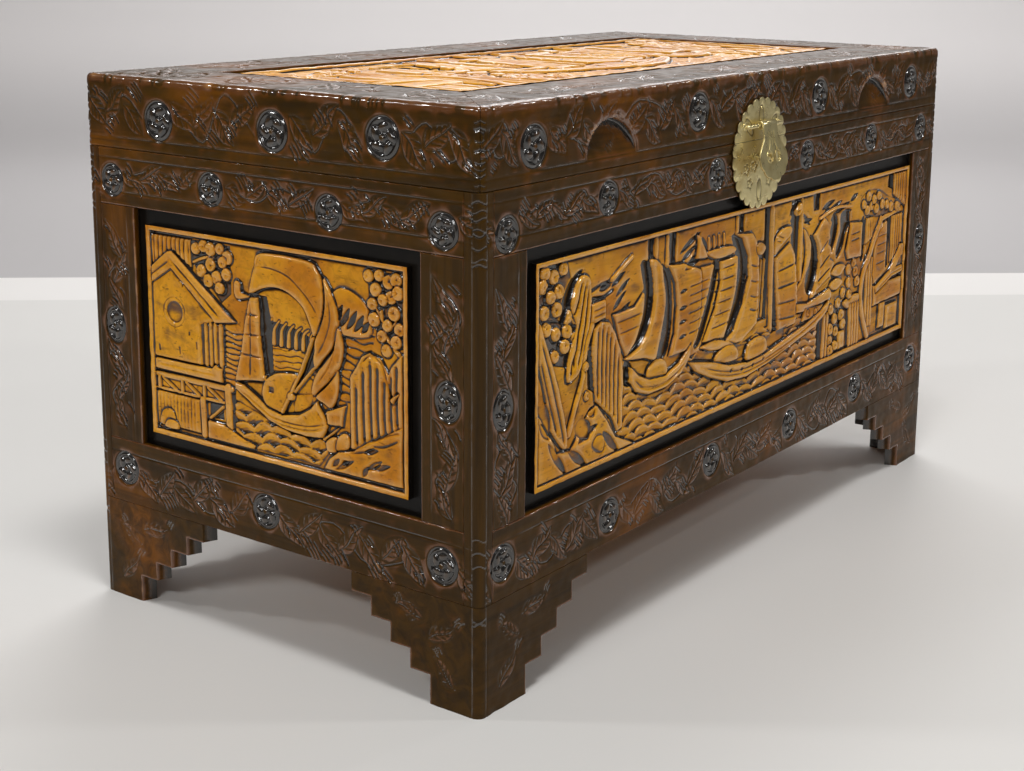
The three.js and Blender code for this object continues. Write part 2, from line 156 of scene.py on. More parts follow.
class Relief:
    """A carved face as a height map, in millimetres above the uncut face."""

    def __init__(self, width, height, step, level=0.0):
        """A face of one level, with a sample about every step."""
        self.width, self.height = width, height
        self.nu = int(round(width / step)) + 1
        self.nv = int(round(height / step)) + 1
        self.step = step
        self.su = width / (self.nu - 1)
        self.sv = height / (self.nv - 1)
        self.h = np.full((self.nv, self.nu), float(level))
        # stain_and_shade holds dye laid on the carving, such as the black of the flowers, and
        # painted shade in the deepest hollows of the scenes.
        self.stain_and_shade = np.zeros((self.nv, self.nu))

    def window(self, points, margin):
        """The samples near some points, as slices with the u and v of each."""
        points = np.asarray(points, float)
        low = (points.min(0) - margin) / (self.su, self.sv)
        high = (points.max(0) + margin) / (self.su, self.sv)
        i0, j0 = max(int(low[0]), 0), max(int(low[1]), 0)
        i1 = max(min(int(high[0]) + 2, self.nu), i0)
        j1 = max(min(int(high[1]) + 2, self.nv), j0)
        u, v = np.meshgrid(np.arange(i0, i1) * self.su, np.arange(j0, j1) * self.sv)
        return (slice(j0, j1), slice(i0, i1)), u, v

    def lay(self, where, distance, top, edge, moat=0.0, moat_width=1.8):
        """Lays a shape over what is there, bevelled at its edge, with a moat cut round it."""
        old = self.h[where]
        if moat:
            old = old - moat * np.exp(-(np.maximum(distance, 0) / moat_width) ** 2)
        t = smooth(0.5 - distance / edge)
        self.h[where] = old * (1 - t) + top * t

    def shape(self, outline, top, edge=1.2, dome=0.7, reach=6.5, moat=1.6, moat_width=2.0,
              lean=0.0):
        """A raised shape; lean is how much higher its right side stands than its left."""
        where, u, v = self.window(outline, 3 * moat_width + edge)
        d = outline_distance(outline, u, v)
        rise = dome * np.sqrt(1 - (1 - np.clip(-d / reach, 0, 1)) ** 2)
        low, high = outline[:, 0].min(), outline[:, 0].max()
        rise = rise + lean * ((u - low) / (high - low) - 0.5)
        self.lay(where, d, top + rise, edge, moat, moat_width)

    def disc(self, centre, radius, top, dish=0.5, moat=1.8):
        """A round leaf: a coin with a dished face, or a domed one if dish is negative."""
        where, u, v = self.window([centre], radius + 5)
        r = np.hypot(u - centre[0], v - centre[1])
        level = top - dish * (1 - np.clip(r / radius, 0, 1) ** 2)
        self.lay(where, r - radius, level, 1.1, moat, 1.6)

    def bar(self, line, width, top, moat=1.2, crown=0.5, taper=0.0):
        """A raised bar along a line, which can taper towards its end."""
        where, u, v = self.window(line, width + 5)
        d, along = line_distance(line, u, v)
        half = width / 2 * (1 - taper * along)
        level = top - crown * np.clip(d / half, 0, 1) ** 2
        self.lay(where, d - half, level, 1.1, moat, 1.6)

    def cut(self, line, width=1.6, depth=0.8):
        """A groove along a line, shallower at both ends."""
        where, u, v = self.window(line, 2 * width)
        d, along = line_distance(line, u, v)
        ends = np.clip(2.5 * np.sin(np.pi * along), 0.3, 1)
        self.h[where] -= depth * ends * np.clip(1.15 - 1.25 * d / width, 0, 1)

    def reeds(self, outline, spacing, depth):
        """Upright rounded reeds side by side inside an outline, with sharp grooves between."""
        where, u, v = self.window(outline, 2)
        mask = smooth(0.5 - outline_distance(outline, u, v) / 1.5)
        crest = np.abs(np.sin(np.pi * (u - np.mean(outline, axis=0)[0]) / spacing))
        self.h[where] -= depth * (1 - crest ** 0.6) * mask

    def scales(self, outline, length, height, depth):
        """Water as rows of arched crests, each row lapping over the one behind it."""
        where, u, v = self.window(outline, 2)
        mask = smooth(0.5 - outline_distance(outline, u, v) / 2.0)
        drift = 0.3 * height * np.sin(2 * np.pi * u / (3.3 * length) + v / (2.2 * height))
        w = v.max() + height - v + drift
        row = np.floor(w / height)
        fall, phase = np.zeros(u.shape), np.zeros(u.shape)
        for ahead in (-1, 0, 1):
            k = row + ahead
            turn = u / length + 0.5 * k + 0.09 * np.sin(2.1 * k) + 0.05 * np.sin(u / length)
            arch = 1 - np.abs(np.sin(np.pi * turn)) ** 0.75
            below = w - (k + 0.5 * arch) * height
            fall = np.where(below >= 0, below, fall)
            phase = np.where(below >= 0, turn, phase)
        share = fall / (1.5 * height)
        combed = 0.16 * np.abs(np.sin(np.pi * (3.5 * share + 2.0 * phase)))
        self.h[where] -= depth * (np.clip(share, 0, 1) ** 1.1 + combed * share) * mask

    def ripples(self, outline, spacing, depth):
        """Calm water: long broken level lines."""
        where, u, v = self.window(outline, 2)
        mask = smooth(0.5 - outline_distance(outline, u, v) / 2.0)
        phase = v / spacing + 0.22 * np.sin(u / 9.0) + 0.12 * np.sin(u / 3.7 + v / 5.0)
        line = np.abs(np.sin(np.pi * phase)) ** 0.5
        self.h[where] -= depth * (1 - line) * mask

    def stipple(self, outline, spacing, depth):
        """Woven or punched ground inside an outline."""
        where, u, v = self.window(outline, 2)
        mask = smooth(0.5 - outline_distance(outline, u, v) / 1.5)
        weave = np.sin(2 * np.pi * u / spacing) * np.sin(2 * np.pi * v / spacing)
        self.h[where] += depth * weave * mask

    def finished(self, lowest, softness=2.6, uneven=0.25):
        """Adds the hand's unevenness, keeps the cuts off the back, and notes the grooves, with the
        dye and painted shade added, for the colour.
        """
        soft = max(1, int(round(3.0 / self.step)))
        grid = rng.normal(size=self.h.shape)
        self.h = self.h + uneven * 2.2 * soft * blur(grid, soft)
        self.h = np.maximum(self.h, lowest)
        # The crease darkens the colour as painted shade in the grooves and, through the wider
        # blur, in the hollows beside tall shapes.
        near, wide = (max(1, int(round(k * softness / self.step))) for k in (0.4, 1.5))
        self.crease = (0.5 * blur(self.h, near) + 0.5 * blur(self.h, wide) - self.h
                       + self.stain_and_shade)
        return self

    def at(self, u, v):
        """Height and crease at any u and v."""
        x = np.clip(u / self.su, 0, self.nu - 1.001)
        y = np.clip(v / self.sv, 0, self.nv - 1.001)
        i, j = x.astype(int), y.astype(int)
        fx, fy = x - i, y - j
        found = []
        for field in (self.h, self.crease):
            low = field[j, i] * (1 - fx) + field[j, i + 1] * fx
            high = field[j + 1, i] * (1 - fx) + field[j + 1, i + 1] * fx
            found.append(low * (1 - fy) + high * fy)
        return found


# ---- meshes ----------------------------------------------------------------
SHADE_BEHIND = 1.1  # crease value behind a carved face: painted shade that darkens the piece's sides and back towards black


def placed(name, data):
    """A new object in the scene, from a mesh, curve, light or camera."""
    made = bpy.data.objects.new(name, data)
    bpy.context.scene.collection.objects.link(made)
    return made


def from_bmesh(name, shape):
    """An object from a bmesh, which is then freed."""
    mesh = bpy.data.meshes.new(name)
    shape.to_mesh(mesh)
    shape.free()
    return placed(name, mesh)


def make_object(name, points, quads, others, smooth_quads, crease):
    """A mesh object from points in millimetres, quads and other faces."""
    mesh = bpy.data.meshes.new(name)
    points = np.asarray(points, float).reshape(-1, 3) * MM
    quads = np.asarray(quads, np.int32).reshape(-1, 4)
    mesh.vertices.add(len(points))
    mesh.vertices.foreach_set("co", points.astype(np.float32).ravel())
    loops = [quads.ravel()] + [np.asarray(face, np.int32) for face in others]
    sizes = [4] * len(quads) + [len(face) for face in others]
    starts = np.concatenate([[0], np.cumsum(sizes)[:-1]]).astype(np.int32)
    loops = np.concatenate(loops)
    mesh.loops.add(len(loops))
    mesh.loops.foreach_set("vertex_index", loops)
    mesh.polygons.add(len(sizes))
    mesh.polygons.foreach_set("loop_start", starts)
    shading = np.zeros(len(sizes), bool)
    shading[:smooth_quads] = True
    mesh.polygons.foreach_set("use_smooth", shading)
    mesh.update(calc_edges=True)
    mesh.validate()
    values = mesh.attributes.new("crease", "FLOAT", "POINT")
    # Points past the given crease values, the backs and edge loops, get the painted shade value.
    full = np.full(len(points), SHADE_BEHIND, np.float32)
    full[:len(crease)] = crease
    values.data.foreach_set("value", full)
    return placed(name, mesh)


def grid_quads(rows, columns, wrap=False):
    """The quads of a grid of points; wrap joins its last column to its first."""
    index = np.arange(rows * columns).reshape(rows, columns)
    if wrap:
        index = np.hstack([index, index[:, :1]])
    corners = [index[:-1, :-1], index[:-1, 1:], index[1:, 1:], index[1:, :-1]]
    return np.stack(corners, axis=-1).reshape(-1, 4)


def lines(low, high, step, fine=(0.35, 0.9, 1.7)):
    """Grid lines from low to high, closer together beside both ends."""
    inner = np.linspace(low + fine[-1], high - fine[-1], max(2, int((high - low) / step)))
    near = [low] + [low + f for f in fine[:-1]]
    far = [high - f for f in reversed(fine[:-1])] + [high]
    return np.array(near + list(inner) + far)


JOINT, ROUNDED = 0.35, 1.3  # radius of an edge at a joint, and of an edge left free


def arris(u, v, radii):
    """How far the edges drop at u low, u high, v low and v high, and where they get rubbed."""
    drop, near = np.zeros(u.shape), np.zeros(u.shape)
    for d, radius in zip((u - u.min(), u.max() - u, v - v.min(), v.max() - v), radii):
        t = 1 - np.clip(d / radius, 0, 1)
        drop = np.maximum(drop, radius * (1 - np.sqrt(1 - t * t)))
        share = 0.25 if radius == JOINT else 1.0
        near = np.maximum(near, share * np.exp(-(d / 1.3) ** 2))
    return drop, near


def slab(name, front, back, crease):
    """A closed plate from a grid of front points and the same grid on its flat back."""
    rows, columns = front.shape[:2]
    index = np.arange(rows * columns).reshape(rows, columns)
    loop = np.concatenate([
        index[0, :], index[1:, -1], index[-1, -2::-1], index[-2:0:-1, 0]])
    back_points = back.reshape(-1, 3)[loop]
    points = np.vstack([front.reshape(-1, 3), back_points])
    top = grid_quads(rows, columns)
    below = rows * columns + np.arange(len(loop))
    sides = np.stack([loop, below, np.roll(below, -1), np.roll(loop, -1)], axis=-1)
    quads = np.vstack([top, sides])
    return make_object(name, points, quads, [below[::-1]], len(top), crease.ravel())


def stepped_slab(name, front, back, keep, crease):
    """A closed plate from the kept cells of a grid, with the same cells behind."""
    rows, columns = front.shape[:2]
    behind = rows * columns
    cells = grid_quads(rows, columns).reshape(rows - 1, columns - 1, 4)
    top = cells[keep]
    bottom = (top + behind)[:, ::-1]
    padded = np.pad(keep, 1)
    walls = []
    for shift, (a, b) in zip(((0, 1), (1, 2), (2, 1), (1, 0)), ((0, 1), (1, 2), (2, 3), (3, 0))):
        beside = padded[shift[0]:shift[0] + rows - 1, shift[1]:shift[1] + columns - 1]
        edge = cells[keep & ~beside]
        first, second = edge[:, a], edge[:, b]
        walls.append(np.stack([first, first + behind, second + behind, second], axis=-1))
    quads = np.vstack([top, bottom] + walls)
    used, quads = np.unique(quads, return_inverse=True)
    points = np.vstack([front.reshape(-1, 3), back.reshape(-1, 3)])[used]
    # The back cells and the walls of the steps get painted shade.
    values = np.concatenate([crease.ravel(), np.full(behind, SHADE_BEHIND)])[used]
    return make_object(name, points, quads.reshape(-1, 4), [], len(top), values)


def ring_solid(name, rings, smooth_columns, crease):
    """A closed solid through rings of points; the first columns of each are its shaped face."""
    count, around = rings.shape[:2]
    quads = grid_quads(count, around, wrap=True).reshape(count - 1, around, 4)
    shaped = quads[:, :smooth_columns - 1].reshape(-1, 4)
    plain = quads[:, smooth_columns - 1:].reshape(-1, 4)
    first = np.arange(around)[::-1]
    last = (count - 1) * around + np.arange(around)
    quads = np.vstack([shaped, plain])
    return make_object(name, rings, quads, [first, last], len(shaped), crease.ravel())


class Side:
    """One upright or level face: u runs along it, v up it, h out of it."""

    def __init__(self, origin, along, up, out):
        """A face from where its u and v are 0, and its three directions."""
        self.origin, self.along = np.array(origin, float), np.array(along, float)
        self.up, self.out = np.array(up, float), np.array(out, float)

    def place(self, u, v, h):
        """Points in the part's frame, in millimetres."""
        u, v, h = np.broadcast_arrays(u, v, h)
        return (self.origin + u[..., None] * self.along
                + v[..., None] * self.up + h[..., None] * self.out)


UP = (0, 0, 1)
SIDES = {
    "front": Side((LEFT, FRONT, 0), (1, 0, 0), UP, (0, -1, 0)),
    "right": Side((RIGHT, FRONT, 0), (0, 1, 0), UP, (1, 0, 0)),
    "back": Side((RIGHT, BACK, 0), (-1, 0, 0), UP, (0, 1, 0)),
    "left": Side((LEFT, BACK, 0), (0, -1, 0), UP, (-1, 0, 0)),
}
TOP = Side((LEFT, FRONT, LID_TOP), (1, 0, 0), (0, 1, 0), UP)
WIDTHS = {"front": LENGTH, "right": DEPTH, "back": LENGTH, "left": DEPTH}
ORDER = ["front", "right", "back", "left"]


def grain_along(side_name):
    """The axis that the level boards of a side run along."""
    return "x" if side_name in ("front", "back") else "y"


# ---- materials -------------------------------------------------------------
class Shader:
    """A node material built by naming each node's inputs."""

    def __init__(self, name):
        """An empty material with its surface node and its object coordinates."""
        self.material = bpy.data.materials.new(name)
        self.material.use_nodes = True
        self.tree = self.material.node_tree
        self.bsdf = self.tree.nodes["Principled BSDF"]
        coordinates = self.tree.nodes.new("ShaderNodeTexCoord")
        self.place = coordinates.outputs["Object"]

    def node(self, kind, inputs=None, **settings):
        """Adds a node, with its inputs linked or set."""
        made = self.tree.nodes.new(kind)
        for key, value in settings.items():
            setattr(made, key, value)
        for key, value in (inputs or {}).items():
            self.set(made.inputs[key], value)
        return made

    def set(self, socket, value):
        """Links a socket if the value is another node's output, else sets it."""
        if isinstance(value, bpy.types.NodeSocket):
            self.tree.links.new(value, socket)
        else:
            socket.default_value = value

    def surface(self, **inputs):
        """Links or sets the surface's own inputs."""
        for key, value in inputs.items():
            self.set(self.bsdf.inputs[key.replace("_", " ")], value)

    def stretched(self, scale):
        """The object coordinates, scaled along each axis."""
        mapping = self.node("ShaderNodeMapping", {"Vector": self.place, "Scale": scale})
        return mapping.outputs["Vector"]

    def noise(self, scale, detail=4.0, vector=None, distortion=0.0, roughness=0.55):
        """Cloudy values round 0.5."""
        found = self.node("ShaderNodeTexNoise", {
            "Vector": vector or self.place, "Scale": scale, "Detail": detail,
            "Distortion": distortion, "Roughness": roughness})
        return found.outputs["Fac"]

    def crease(self):
        """How deep in a groove a place is, or how proud of its surroundings if negative; the frame
        and panel materials paint shade from its positive values.
        """
        return self.node("ShaderNodeAttribute", attribute_name="crease").outputs["Fac"]

    def between(self, value, low, high):
        """0 below low, 1 above high, smooth between."""
        found = self.node("ShaderNodeMapRange", {
            "Value": value, "From Min": low, "From Max": high},
            interpolation_type="SMOOTHSTEP", clamp=True)
        return found.outputs["Result"]

    def scaled(self, value, low, high, out_low, out_high):
        """From low..high to out_low..out_high, kept within them."""
        found = self.node("ShaderNodeMapRange", {
            "Value": value, "From Min": low, "From Max": high,
            "To Min": out_low, "To Max": out_high}, clamp=True)
        return found.outputs["Result"]

    def math(self, operation, a, b=0.0):
        """One sum on two values."""
        found = self.node("ShaderNodeMath", {0: a, 1: b}, operation=operation)
        return found.outputs["Value"]

    def dot(self, a, b):
        """How far a vector goes along another."""
        found = self.node("ShaderNodeVectorMath", {0: a, 1: b}, operation="DOT_PRODUCT")
        return found.outputs["Value"]

    def mix(self, share, a, b):
        """Colour a at share 0, b at share 1."""
        found = self.node("ShaderNodeMix", data_type="RGBA")
        self.set(found.inputs[0], share)
        self.set(found.inputs[6], a)
        self.set(found.inputs[7], b)
        return found.outputs[2]

    def bump(self, height, strength, distance):
        """Fine unevenness that the mesh does not carry."""
        found = self.node("ShaderNodeBump", {
            "Height": height, "Strength": strength, "Distance": distance})
        self.set(self.bsdf.inputs["Normal"], found.outputs["Normal"])


def colour(red, green, blue):
    """An sRGB colour from 0 to 255, as linear values."""
    linear = [(c / 255 / 12.92) if c < 11 else ((c / 255 + 0.055) / 1.055) ** 2.4
              for c in (red, green, blue)]
    return (*linear, 1.0)


GRAIN = {"x": (3, 60, 60), "y": (60, 3, 60), "z": (60, 60, 3)}


def wood_grain(shader, axis, scale=6.0, distortion=1.2):
    """Streaks along an axis."""
    vector = shader.stretched(GRAIN[axis])
    return shader.noise(scale / 6.0, 6.0, vector, distortion)


def lacquered_wood(axis):
    """Dark stained frame wood: amber thin patches, dark lacquer with painted shade black in the
    cuts, rubbed on the edges.
    """
    s = Shader(f"lacquered_wood_{axis}")
    patches = s.between(s.noise(6.5, 4.0, distortion=0.4), 0.50, 0.72)
    grain = wood_grain(s, axis)
    base = s.mix(patches, colour(70, 46, 5), colour(120, 70, 6))
    base = s.mix(s.scaled(grain, 0.38, 0.66, 0.0, 0.7), base, colour(36, 24, 4))
    crease = s.crease()
    # Painted shade, with dark lacquer left in them: the cuts and hollows darken to near black.
    base = s.mix(s.between(crease, 0.1, 0.9), base, colour(18, 11, 5))
    proud = s.math("MULTIPLY", crease, -1.0)
    raised, worn = s.between(proud, 0.04, 0.3), s.between(proud, 0.3, 0.75)
    base = s.mix(s.math("MULTIPLY", raised, 0.6), base, colour(112, 60, 8))
    rubbed = s.math("MULTIPLY", s.between(s.noise(42.0, 5.0), 0.52, 0.66), worn)
    base = s.mix(rubbed, base, colour(178, 124, 66))
    rough = s.scaled(s.noise(70.0, 4.0), 0.3, 0.7, 0.34, 0.55)
    s.surface(Base_Color=base, Roughness=rough, Specular_IOR_Level=0.08,
              Coat_Weight=s.scaled(s.math("ABSOLUTE", crease), 0.12, 0.4, 0.08, 1.0),
              Coat_Roughness=0.15, Coat_IOR=1.85)
    dents = s.noise(95.0, 2.0)
    s.bump(s.math("ADD", s.math("MULTIPLY", grain, 0.25), dents), 0.3, 0.0008)
    return s.material


def carved_wood():
    """Golden varnished camphorwood with dark glaze smeared round the cuts, and the cuts darkened
    by glaze left in them and by painted shade.
    """
    s = Shader("carved_wood")
    tone = s.noise(9.0, 4.0, distortion=0.5)
    grain = wood_grain(s, "x", 9.0)
    base = s.mix(s.between(tone, 0.38, 0.66), colour(226, 158, 28), colour(196, 122, 18))
    base = s.mix(s.scaled(grain, 0.46, 0.7, 0.0, 0.5), base, colour(150, 92, 14))
    flecks = s.between(s.noise(120.0, 2.0, s.stretched((1, 1, 2.5))), 0.62, 0.72)
    base = s.mix(s.math("MULTIPLY", flecks, 0.6), base, colour(88, 46, 10))
    smears = s.noise(1.0, 5.0, s.stretched((14, 14, 60)), 0.6)
    crease = s.math("ADD", s.crease(), s.scaled(smears, 0.4, 0.7, -0.12, 0.34))
    worn = s.between(s.math("MULTIPLY", crease, -1.0), 0.15, 0.9)
    base = s.mix(s.math("MULTIPLY", worn, 0.5), base, colour(228, 166, 66))
    # Painted shade, with the glaze left in them: the cuts and the hollows beside raised shapes
    # darken to brown and then near black.
    base = s.mix(s.between(crease, 0.02, 0.5), base, colour(98, 58, 12))
    base = s.mix(s.between(crease, 0.4, 1.0), base, colour(18, 10, 4))
    rough = s.scaled(s.noise(90.0, 3.0), 0.3, 0.7, 0.34, 0.5)
    s.surface(Base_Color=base, Roughness=rough, Specular_IOR_Level=0.12,
              Coat_Weight=s.scaled(s.math("ABSOLUTE", crease), 0.15, 0.8, 0.08, 0.9),
              Coat_Roughness=0.16, Coat_IOR=1.7)
    s.bump(s.math("ADD", grain, s.noise(300.0, 3.0)), 0.16, 0.0006)
    return s.material


def camphor_wood():
    """Bare camphorwood inside the chest."""
    s = Shader("camphor_wood")
    grain = wood_grain(s, "x", 7.0, 2.2)
    base = s.mix(s.between(grain, 0.3, 0.7), colour(186, 146, 98), colour(142, 98, 58))
    base = s.mix(s.between(s.noise(5.0, 3.0), 0.45, 0.75), base, colour(160, 104, 66))
    s.surface(Base_Color=base, Roughness=s.scaled(grain, 0.3, 0.7, 0.55, 0.72))
    s.bump(grain, 0.25, 0.0006)
    return s.material


def aged_brass():
    """Pale worn brass, brown only where dirt stays in the cuts."""
    s = Shader("aged_brass")
    tarnish = s.between(s.noise(38.0, 5.0), 0.5, 0.75)
    base = s.mix(tarnish, colour(222, 207, 152), colour(190, 167, 106))
    base = s.mix(s.between(s.crease(), 0.0, 0.45), base, colour(84, 64, 34))
    rough = s.scaled(s.noise(110.0, 4.0), 0.3, 0.7, 0.24, 0.4)
    s.surface(Base_Color=base, Roughness=rough, Metallic=0.85)
    s.bump(s.noise(260.0, 3.0), 0.2, 0.0004)
    return s.material


LACQUER = {axis: lacquered_wood(axis) for axis in "xyz"}
CARVED = carved_wood()
CAMPHOR = camphor_wood()
BRASS = aged_brass()


def finish_piece(piece, material, body, slot, *nodes):
    """Gives a piece its material and its body, and hides the CAD nodes it stands for; slot is not
    used.
    """
    piece.data.materials.append(material)
    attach(piece, body)
    if nodes:
        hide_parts(*nodes)
    return piece


# ---- carving on the frame --------------------------------------------------
PETALS = 5


def rosette(relief, centre, radius, squash=1.0, turn=0.0):
    """A glossy flower in a sunken ring: rounded petals and a button inside a raised rim."""
    reach = radius * max(1.0, squash) + 6
    where, u, v = relief.window([centre], reach)
    du, dv = (u - centre[0]) / radius, (v - centre[1]) / (radius * squash)
    share = np.hypot(du, dv)
    relief.h[where] -= 2.0 * np.exp(-((share - 1.05) * radius / 1.7) ** 2)

    def rounded(distance, size, rise):
        """The height of a dome."""
        return rise * np.sqrt(np.maximum(1 - (distance / size) ** 2, 0))

    level = rounded(share - 0.93, 0.09, 1.9)
    for k in range(PETALS):
        angle = turn + 2 * math.pi * k / PETALS
        along = du * math.cos(angle) + dv * math.sin(angle)
        across = dv * math.cos(angle) - du * math.sin(angle) - 0.12 * np.sin(5 * along)
        level = np.maximum(level, rounded(np.hypot(along - 0.55, across), 0.31, 3.0))
    level = np.maximum(level, rounded(share, 0.24, 3.8)) - 2.0
    relief.lay(where, (share - 1) * radius, level, 1.2)
    black = smooth((1.08 - share) * radius / 2.0)
    halo = 0.22 * np.exp(-((share - 1.4) * radius / 6.0) ** 2)
    relief.stain_and_shade[where] = np.maximum(relief.stain_and_shade[where] - halo, 1.2 * black)


def leaf(relief, base, tip, width, bend=0.0, veins=5, depth=1.1):
    """A pointed leaf, hollowed on one side of its rib, with slanting vein cuts."""
    base, tip = np.array(base, float), np.array(tip, float)
    length = np.hypot(*(tip - base))
    along = (tip - base) / length
    side = np.array([-along[1], along[0]])
    where, u, v = relief.window(np.array([base, tip]), width + abs(bend) + 4)
    t = ((u - base[0]) * along[0] + (v - base[1]) * along[1]) / length
    s = (u - base[0]) * side[0] + (v - base[1]) * side[1]
    inside_t = np.clip(t, 0, 1)
    s = s - bend * np.sin(2 * np.pi * inside_t)
    half = width * np.sin(np.pi * inside_t ** 0.8) ** 0.9
    overshoot = length * np.maximum(np.maximum(-t, t - 1), 0)
    d = np.abs(s) - half + overshoot
    inside = smooth(-d / 1.2 + 0.3)
    share = np.clip(np.abs(s) / np.maximum(half, 1.0), 0, 1)
    hollow = np.where(s > 0, 0.9 * share, 0.4 * (1 - share))
    level = 0.45 - depth * hollow
    relief.h[where] -= 0.5 * depth * np.exp(-(np.maximum(d, 0) / 1.3) ** 2) * (1 - inside)
    relief.h[where] = relief.h[where] * (1 - inside) + level * inside
    relief.h[where] -= 1.1 * depth * np.clip(1 - np.abs(s) / 1.3, 0, 1) * inside
    phase = (t * length - 1.1 * np.abs(s)) / (length / (veins + 1))
    vein = np.abs(phase - np.round(phase)) * length / (veins + 1)
    open_part = smooth((np.abs(s) - 1.2) / 1.2) * smooth((half - np.abs(s)) / 2.0)
    relief.h[where] -= 0.7 * depth * np.exp(-(vein / 0.8) ** 2) * open_part * inside


def nicks(relief, centre, count, length, angle, spacing=3.2, depth=0.9):
    """A few short parallel cuts side by side."""
    a = math.radians(angle)
    along = np.array([math.cos(a), math.sin(a)])
    side = np.array([-along[1], along[0]])
    for k in range(count):
        start = np.array(centre) + side * spacing * (k - (count - 1) / 2)
        start = start + along * rng.uniform(-2, 2)
        reach = along * length * rng.uniform(0.35, 0.55)
        bow = side * rng.uniform(0.0, 1.2)
        relief.cut(curve([start - reach, start + bow, start + reach]), 2.1, 1.15 * depth)


def stem(relief, points, depth=0.9):
    """A long curved cut through a few points."""
    relief.cut(curve(points), 1.9, 1.2 * depth)


BAND_OVERRUN = 130.0  # how far a band's carving goes on past its last flower
SHORTEST_STEM = 20.0


def carve_band(relief, v0, v1, spots, radius, horizontal=True, spacing=27.0):
    """Leaves, stems and nick groups on a band, from each flower to the next."""
    def turned(a, b):
        """A place along and across the band, as u and v."""
        return (a, b) if horizontal else (b, a)

    middle, half = (v0 + v1) / 2, (v1 - v0) / 2
    starts = [spots[0] - BAND_OVERRUN] + spots
    ends = spots + [spots[-1] + BAND_OVERRUN]
    for a, b in zip(starts, ends):
        start, end = a + radius + 5, b - radius - 5
        count = max(1, int(round((end - start) / spacing)))
        if end - start < SHORTEST_STEM:
            continue
        bow = rng.uniform(0.4, 0.9) * half * rng.choice([-1, 1])
        stem(relief, [turned(start, middle - bow * 0.5), turned(a * 0.6 + b * 0.4, middle + bow),
                      turned(a * 0.4 + b * 0.6, middle - bow), turned(end, middle + bow * 0.5)])
        for k in range(count):
            x = start + (end - start) * (k + 0.5) / count
            way = 1 if k % 2 else -1
            long = rng.uniform(0.95, 1.35) * spacing
            root = turned(x - long * 0.5, middle - way * half * rng.uniform(0.1, 0.5))
            reach = turned(x + long * 0.5, middle + way * half * rng.uniform(0.6, 0.95))
            leaf(relief, root, reach, rng.uniform(0.2, 0.32) * half + 3.0,
                 rng.uniform(-3, 3), veins=4, depth=rng.uniform(0.9, 1.4))
        for k in range(2 * count):
            x = start + (end - start) * (k + rng.uniform(0.1, 0.9)) / (2 * count)
            spot = turned(x, middle + half * rng.uniform(-0.8, 0.8))
            nicks(relief, spot, int(rng.integers(1, 5)), rng.uniform(8, 20),
                  rng.uniform(-60, -34), rng.uniform(3.4, 5.0), rng.uniform(0.9, 1.5))


# Heights of the carved bands and plain grooves, and the flowers' places along and up each side.
LID_BAND = (512.0, 568.0)
TOP_BAND = (455.0, 487.0)
LOW_BAND = (111.0, 166.0)
STILE_BAND = (20.0, 58.0)
PLAIN_LINES = (510.5, 488.5, 453.5, 167.0)
BOSSES = {
    "front": {
        "lid": [(80, 533), (375, 540), (658, 536), (923, 535)],
        "top": [(40, 457), (205, 470), (417, 469), (631, 468), (809, 472), (964, 471)],
        "low": [(35, 146), (216, 140), (424, 145), (613, 141), (795, 146), (971, 149)],
        "stile": [(35, 294), (981, 317)],
    },
    "left": {
        "lid": [(113, 532), (274, 534), (414, 539)],
        "top": [(38, 465), (186, 469), (346, 463), (485, 461)],
        "low": [(42, 149), (253, 146), (483, 143)],
        "stile": [(34, 308), (490, 303)],
    },
}
BOSSES["back"] = BOSSES["front"]
BOSSES["right"] = BOSSES["left"]
BOSS_RADIUS = {"lid": 18.5, "top": 15.5, "low": 16.5, "stile": 13.5}
TALL_BOSS = 1.3  # how much taller than wide a stile's flower is
# From where to where each leaf on a foot goes, and the slant of the nicks at its tip.
FOOT_LEAVES = [((30, 22), (56, 50), 50), ((62, 66), (30, 84), -40), ((66, 84), (104, 92), 60)]


def carve_side(name):
    """The height map of one whole side: bands of leaves and flowers between plain strips."""
    width = WIDTHS[name]
    relief = Relief(width, LID_TOP, CARVE_STEP)
    bosses = BOSSES[name]
    bands = {"lid": LID_BAND, "top": TOP_BAND, "low": LOW_BAND}
    for key, (v0, v1) in bands.items():
        carve_band(relief, v0, v1, [u for u, _ in bosses[key]], BOSS_RADIUS[key])
    for mirrored in (False, True):
        flower = bosses["stile"][int(mirrored)]
        centre = width - sum(STILE_BAND) / 2 if mirrored else sum(STILE_BAND) / 2
        half = (STILE_BAND[1] - STILE_BAND[0]) / 2
        carve_band(relief, centre - half, centre + half, [flower[1]], 16, False, 33.0)
        edge = width - STILE_BAND[1] if mirrored else STILE_BAND[1]
        stem(relief, [(edge, RECESS_BOTTOM), (edge, 310), (edge, RECESS_TOP)], 0.5)
    for mirrored in (False, True):
        for start, reach, angle in FOOT_LEAVES:
            spread = np.array([start, reach], float)
            if mirrored:
                spread[:, 0] = width - spread[:, 0]
            leaf(relief, spread[0], spread[1], 8.0, 1.5, veins=4, depth=1.0)
            nicks(relief, spread[1] + (4, 6), 3, 11, -angle if mirrored else angle)
    for v in PLAIN_LINES:
        relief.cut(np.array([(0, v), (width / 2, v), (width, v)]), 1.8, 0.8)
    for key, places in bosses.items():
        for k, (u, v) in enumerate(places):
            radius = BOSS_RADIUS[key]
            rosette(relief, (u, v), radius, TALL_BOSS if key == "stile" else 1.0, 0.7 * k)
    return relief


SCOOP_OFFSET, SCOOP_HALF, SCOOP_BASE, SCOOP_RISE = 300.0, 43.0, 510.5, 37.0
SCOOP_SLOPE = math.tan(math.radians(17.5))


